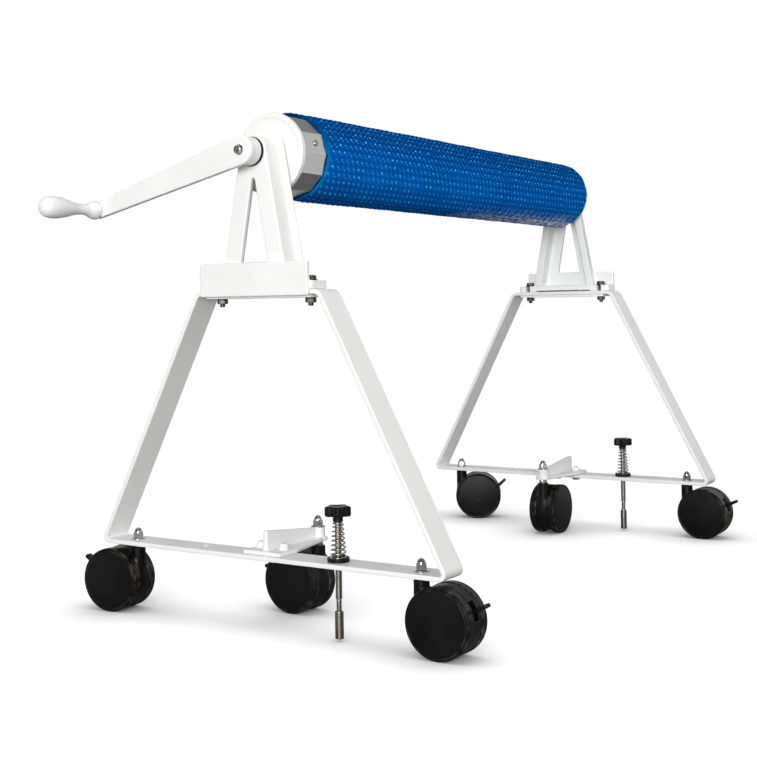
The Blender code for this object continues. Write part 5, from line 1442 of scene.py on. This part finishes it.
def floor():
    """A wide white plane under the casters. It takes soft shadows, has its glow dimmed close to what
    stands on it as painted shadow, and is plain white further away."""
    corners = ((-1, -1, 0), (1, -1, 0), (1, 1, 0), (-1, 1, 0))
    obj = placed("floor", raw_mesh("floor", FLOOR_HALF * np.array(corners), [(0, 1, 2, 3)]))
    material, tree, _ = new_finish("floor")
    tree.nodes.clear()
    seen = node(tree, "LightPath", {}, "Is Camera Ray")
    mirrored = math_of(tree, "MULTIPLY", node(tree, "LightPath", {}, "Is Glossy Ray"), FLOOR_MIRRORED)
    shown = math_of(tree, "MAXIMUM", seen, mirrored)
    matt = node(tree, "BsdfDiffuse", {"Color": blended(tree, seen, FLOOR_BOUNCE, FLOOR_SEEN)})
    # Painted shadow: the floor's glow is dimmed where other things crowd close above it.
    open_sky = node(tree, "AmbientOcclusion", {"Distance": CONTACT_REACH}, "AO", samples=CONTACT_SAMPLES)
    contact_shadow = math_of(tree, "POWER", open_sky, CONTACT_DEPTH)
    strength = math_of(tree, "MULTIPLY", ranged(tree, seen, 0.0, FLOOR_GLOW), contact_shadow)
    near = node(tree, "AddShader", {0: matt, 1: node(tree, "Emission", {"Strength": strength})})
    away = vector_of(tree, "LENGTH", place_in(tree))
    fade = ranged(tree, away, start=FADE_FROM, end=FADE_TO, interpolation_type="SMOOTHSTEP")
    white = node(tree, "Emission", {"Strength": ranged(tree, shown, FLOOR_AWAY, 1.0)})
    node(tree, "OutputMaterial", {"Surface": node(tree, "MixShader", {0: fade, 1: near, 2: white})})
    obj.data.materials.append(material)


def world():
    """Soft light from all round, white where it is seen, and for what mirrors it a studio: a white
    backdrop on one side, a darker room on the other and little overhead."""
    SCENE.world = bpy.data.worlds.new("studio")
    SCENE.world.use_nodes = True
    tree = SCENE.world.node_tree
    tree.nodes.clear()
    look = node(tree, "TexCoord", {}, "Generated")
    up = node(tree, "SeparateXYZ", {0: look}, "Z")
    soft = ranged(tree, up, AMBIENT, ZENITH, end=ZENITH_UP)
    band = ranged(tree, up, MIRRORED, MIRRORED_ZENITH, BAND_FROM, BAND_TO)
    ahead = vector_of(tree, "DOT_PRODUCT", look, BACKDROP)
    room = ranged(tree, ahead, MIRRORED_ROOM, 1.0, ROOM_FROM, ROOM_TO)
    studio = math_of(tree, "MULTIPLY", band, room)
    mirrored = node(tree, "Mix", {0: node(tree, "LightPath", {}, "Is Glossy Ray"), 2: soft, 3: studio})
    strength = node(tree, "Mix", {0: node(tree, "LightPath", {}, "Is Camera Ray"), 2: mirrored, 3: 1.0})
    sky = node(tree, "Background", {"Strength": strength, "Color": (1, 1, 1, 1)})
    node(tree, "OutputWorld", {"Surface": sky})


def lamp(name, place, target, size, power):
    """A square area lamp that faces a target."""
    data = bpy.data.lights.new(name, "AREA")
    data.size, data.energy = size, power
    obj = placed(name, data)
    obj.location = place
    obj.rotation_euler = (Vector(target) - Vector(place)).to_track_quat("-Z", "Y").to_euler()


floor()
world()
lamp("key", (-5.9, -2.4, 1.1), (0, 0, 0.4), 3.0, 358.0)
lamp("side", (-0.6, -5.4, 2.4), (0, 0, 0.4), 3.0, 44.0)
lamp("top", (-0.6, -0.4, 3.2), (0, 0, 0.3), 2.0, 18.0)
SCENE.view_settings.view_transform = "Standard"
print("lamps: key, side, top")
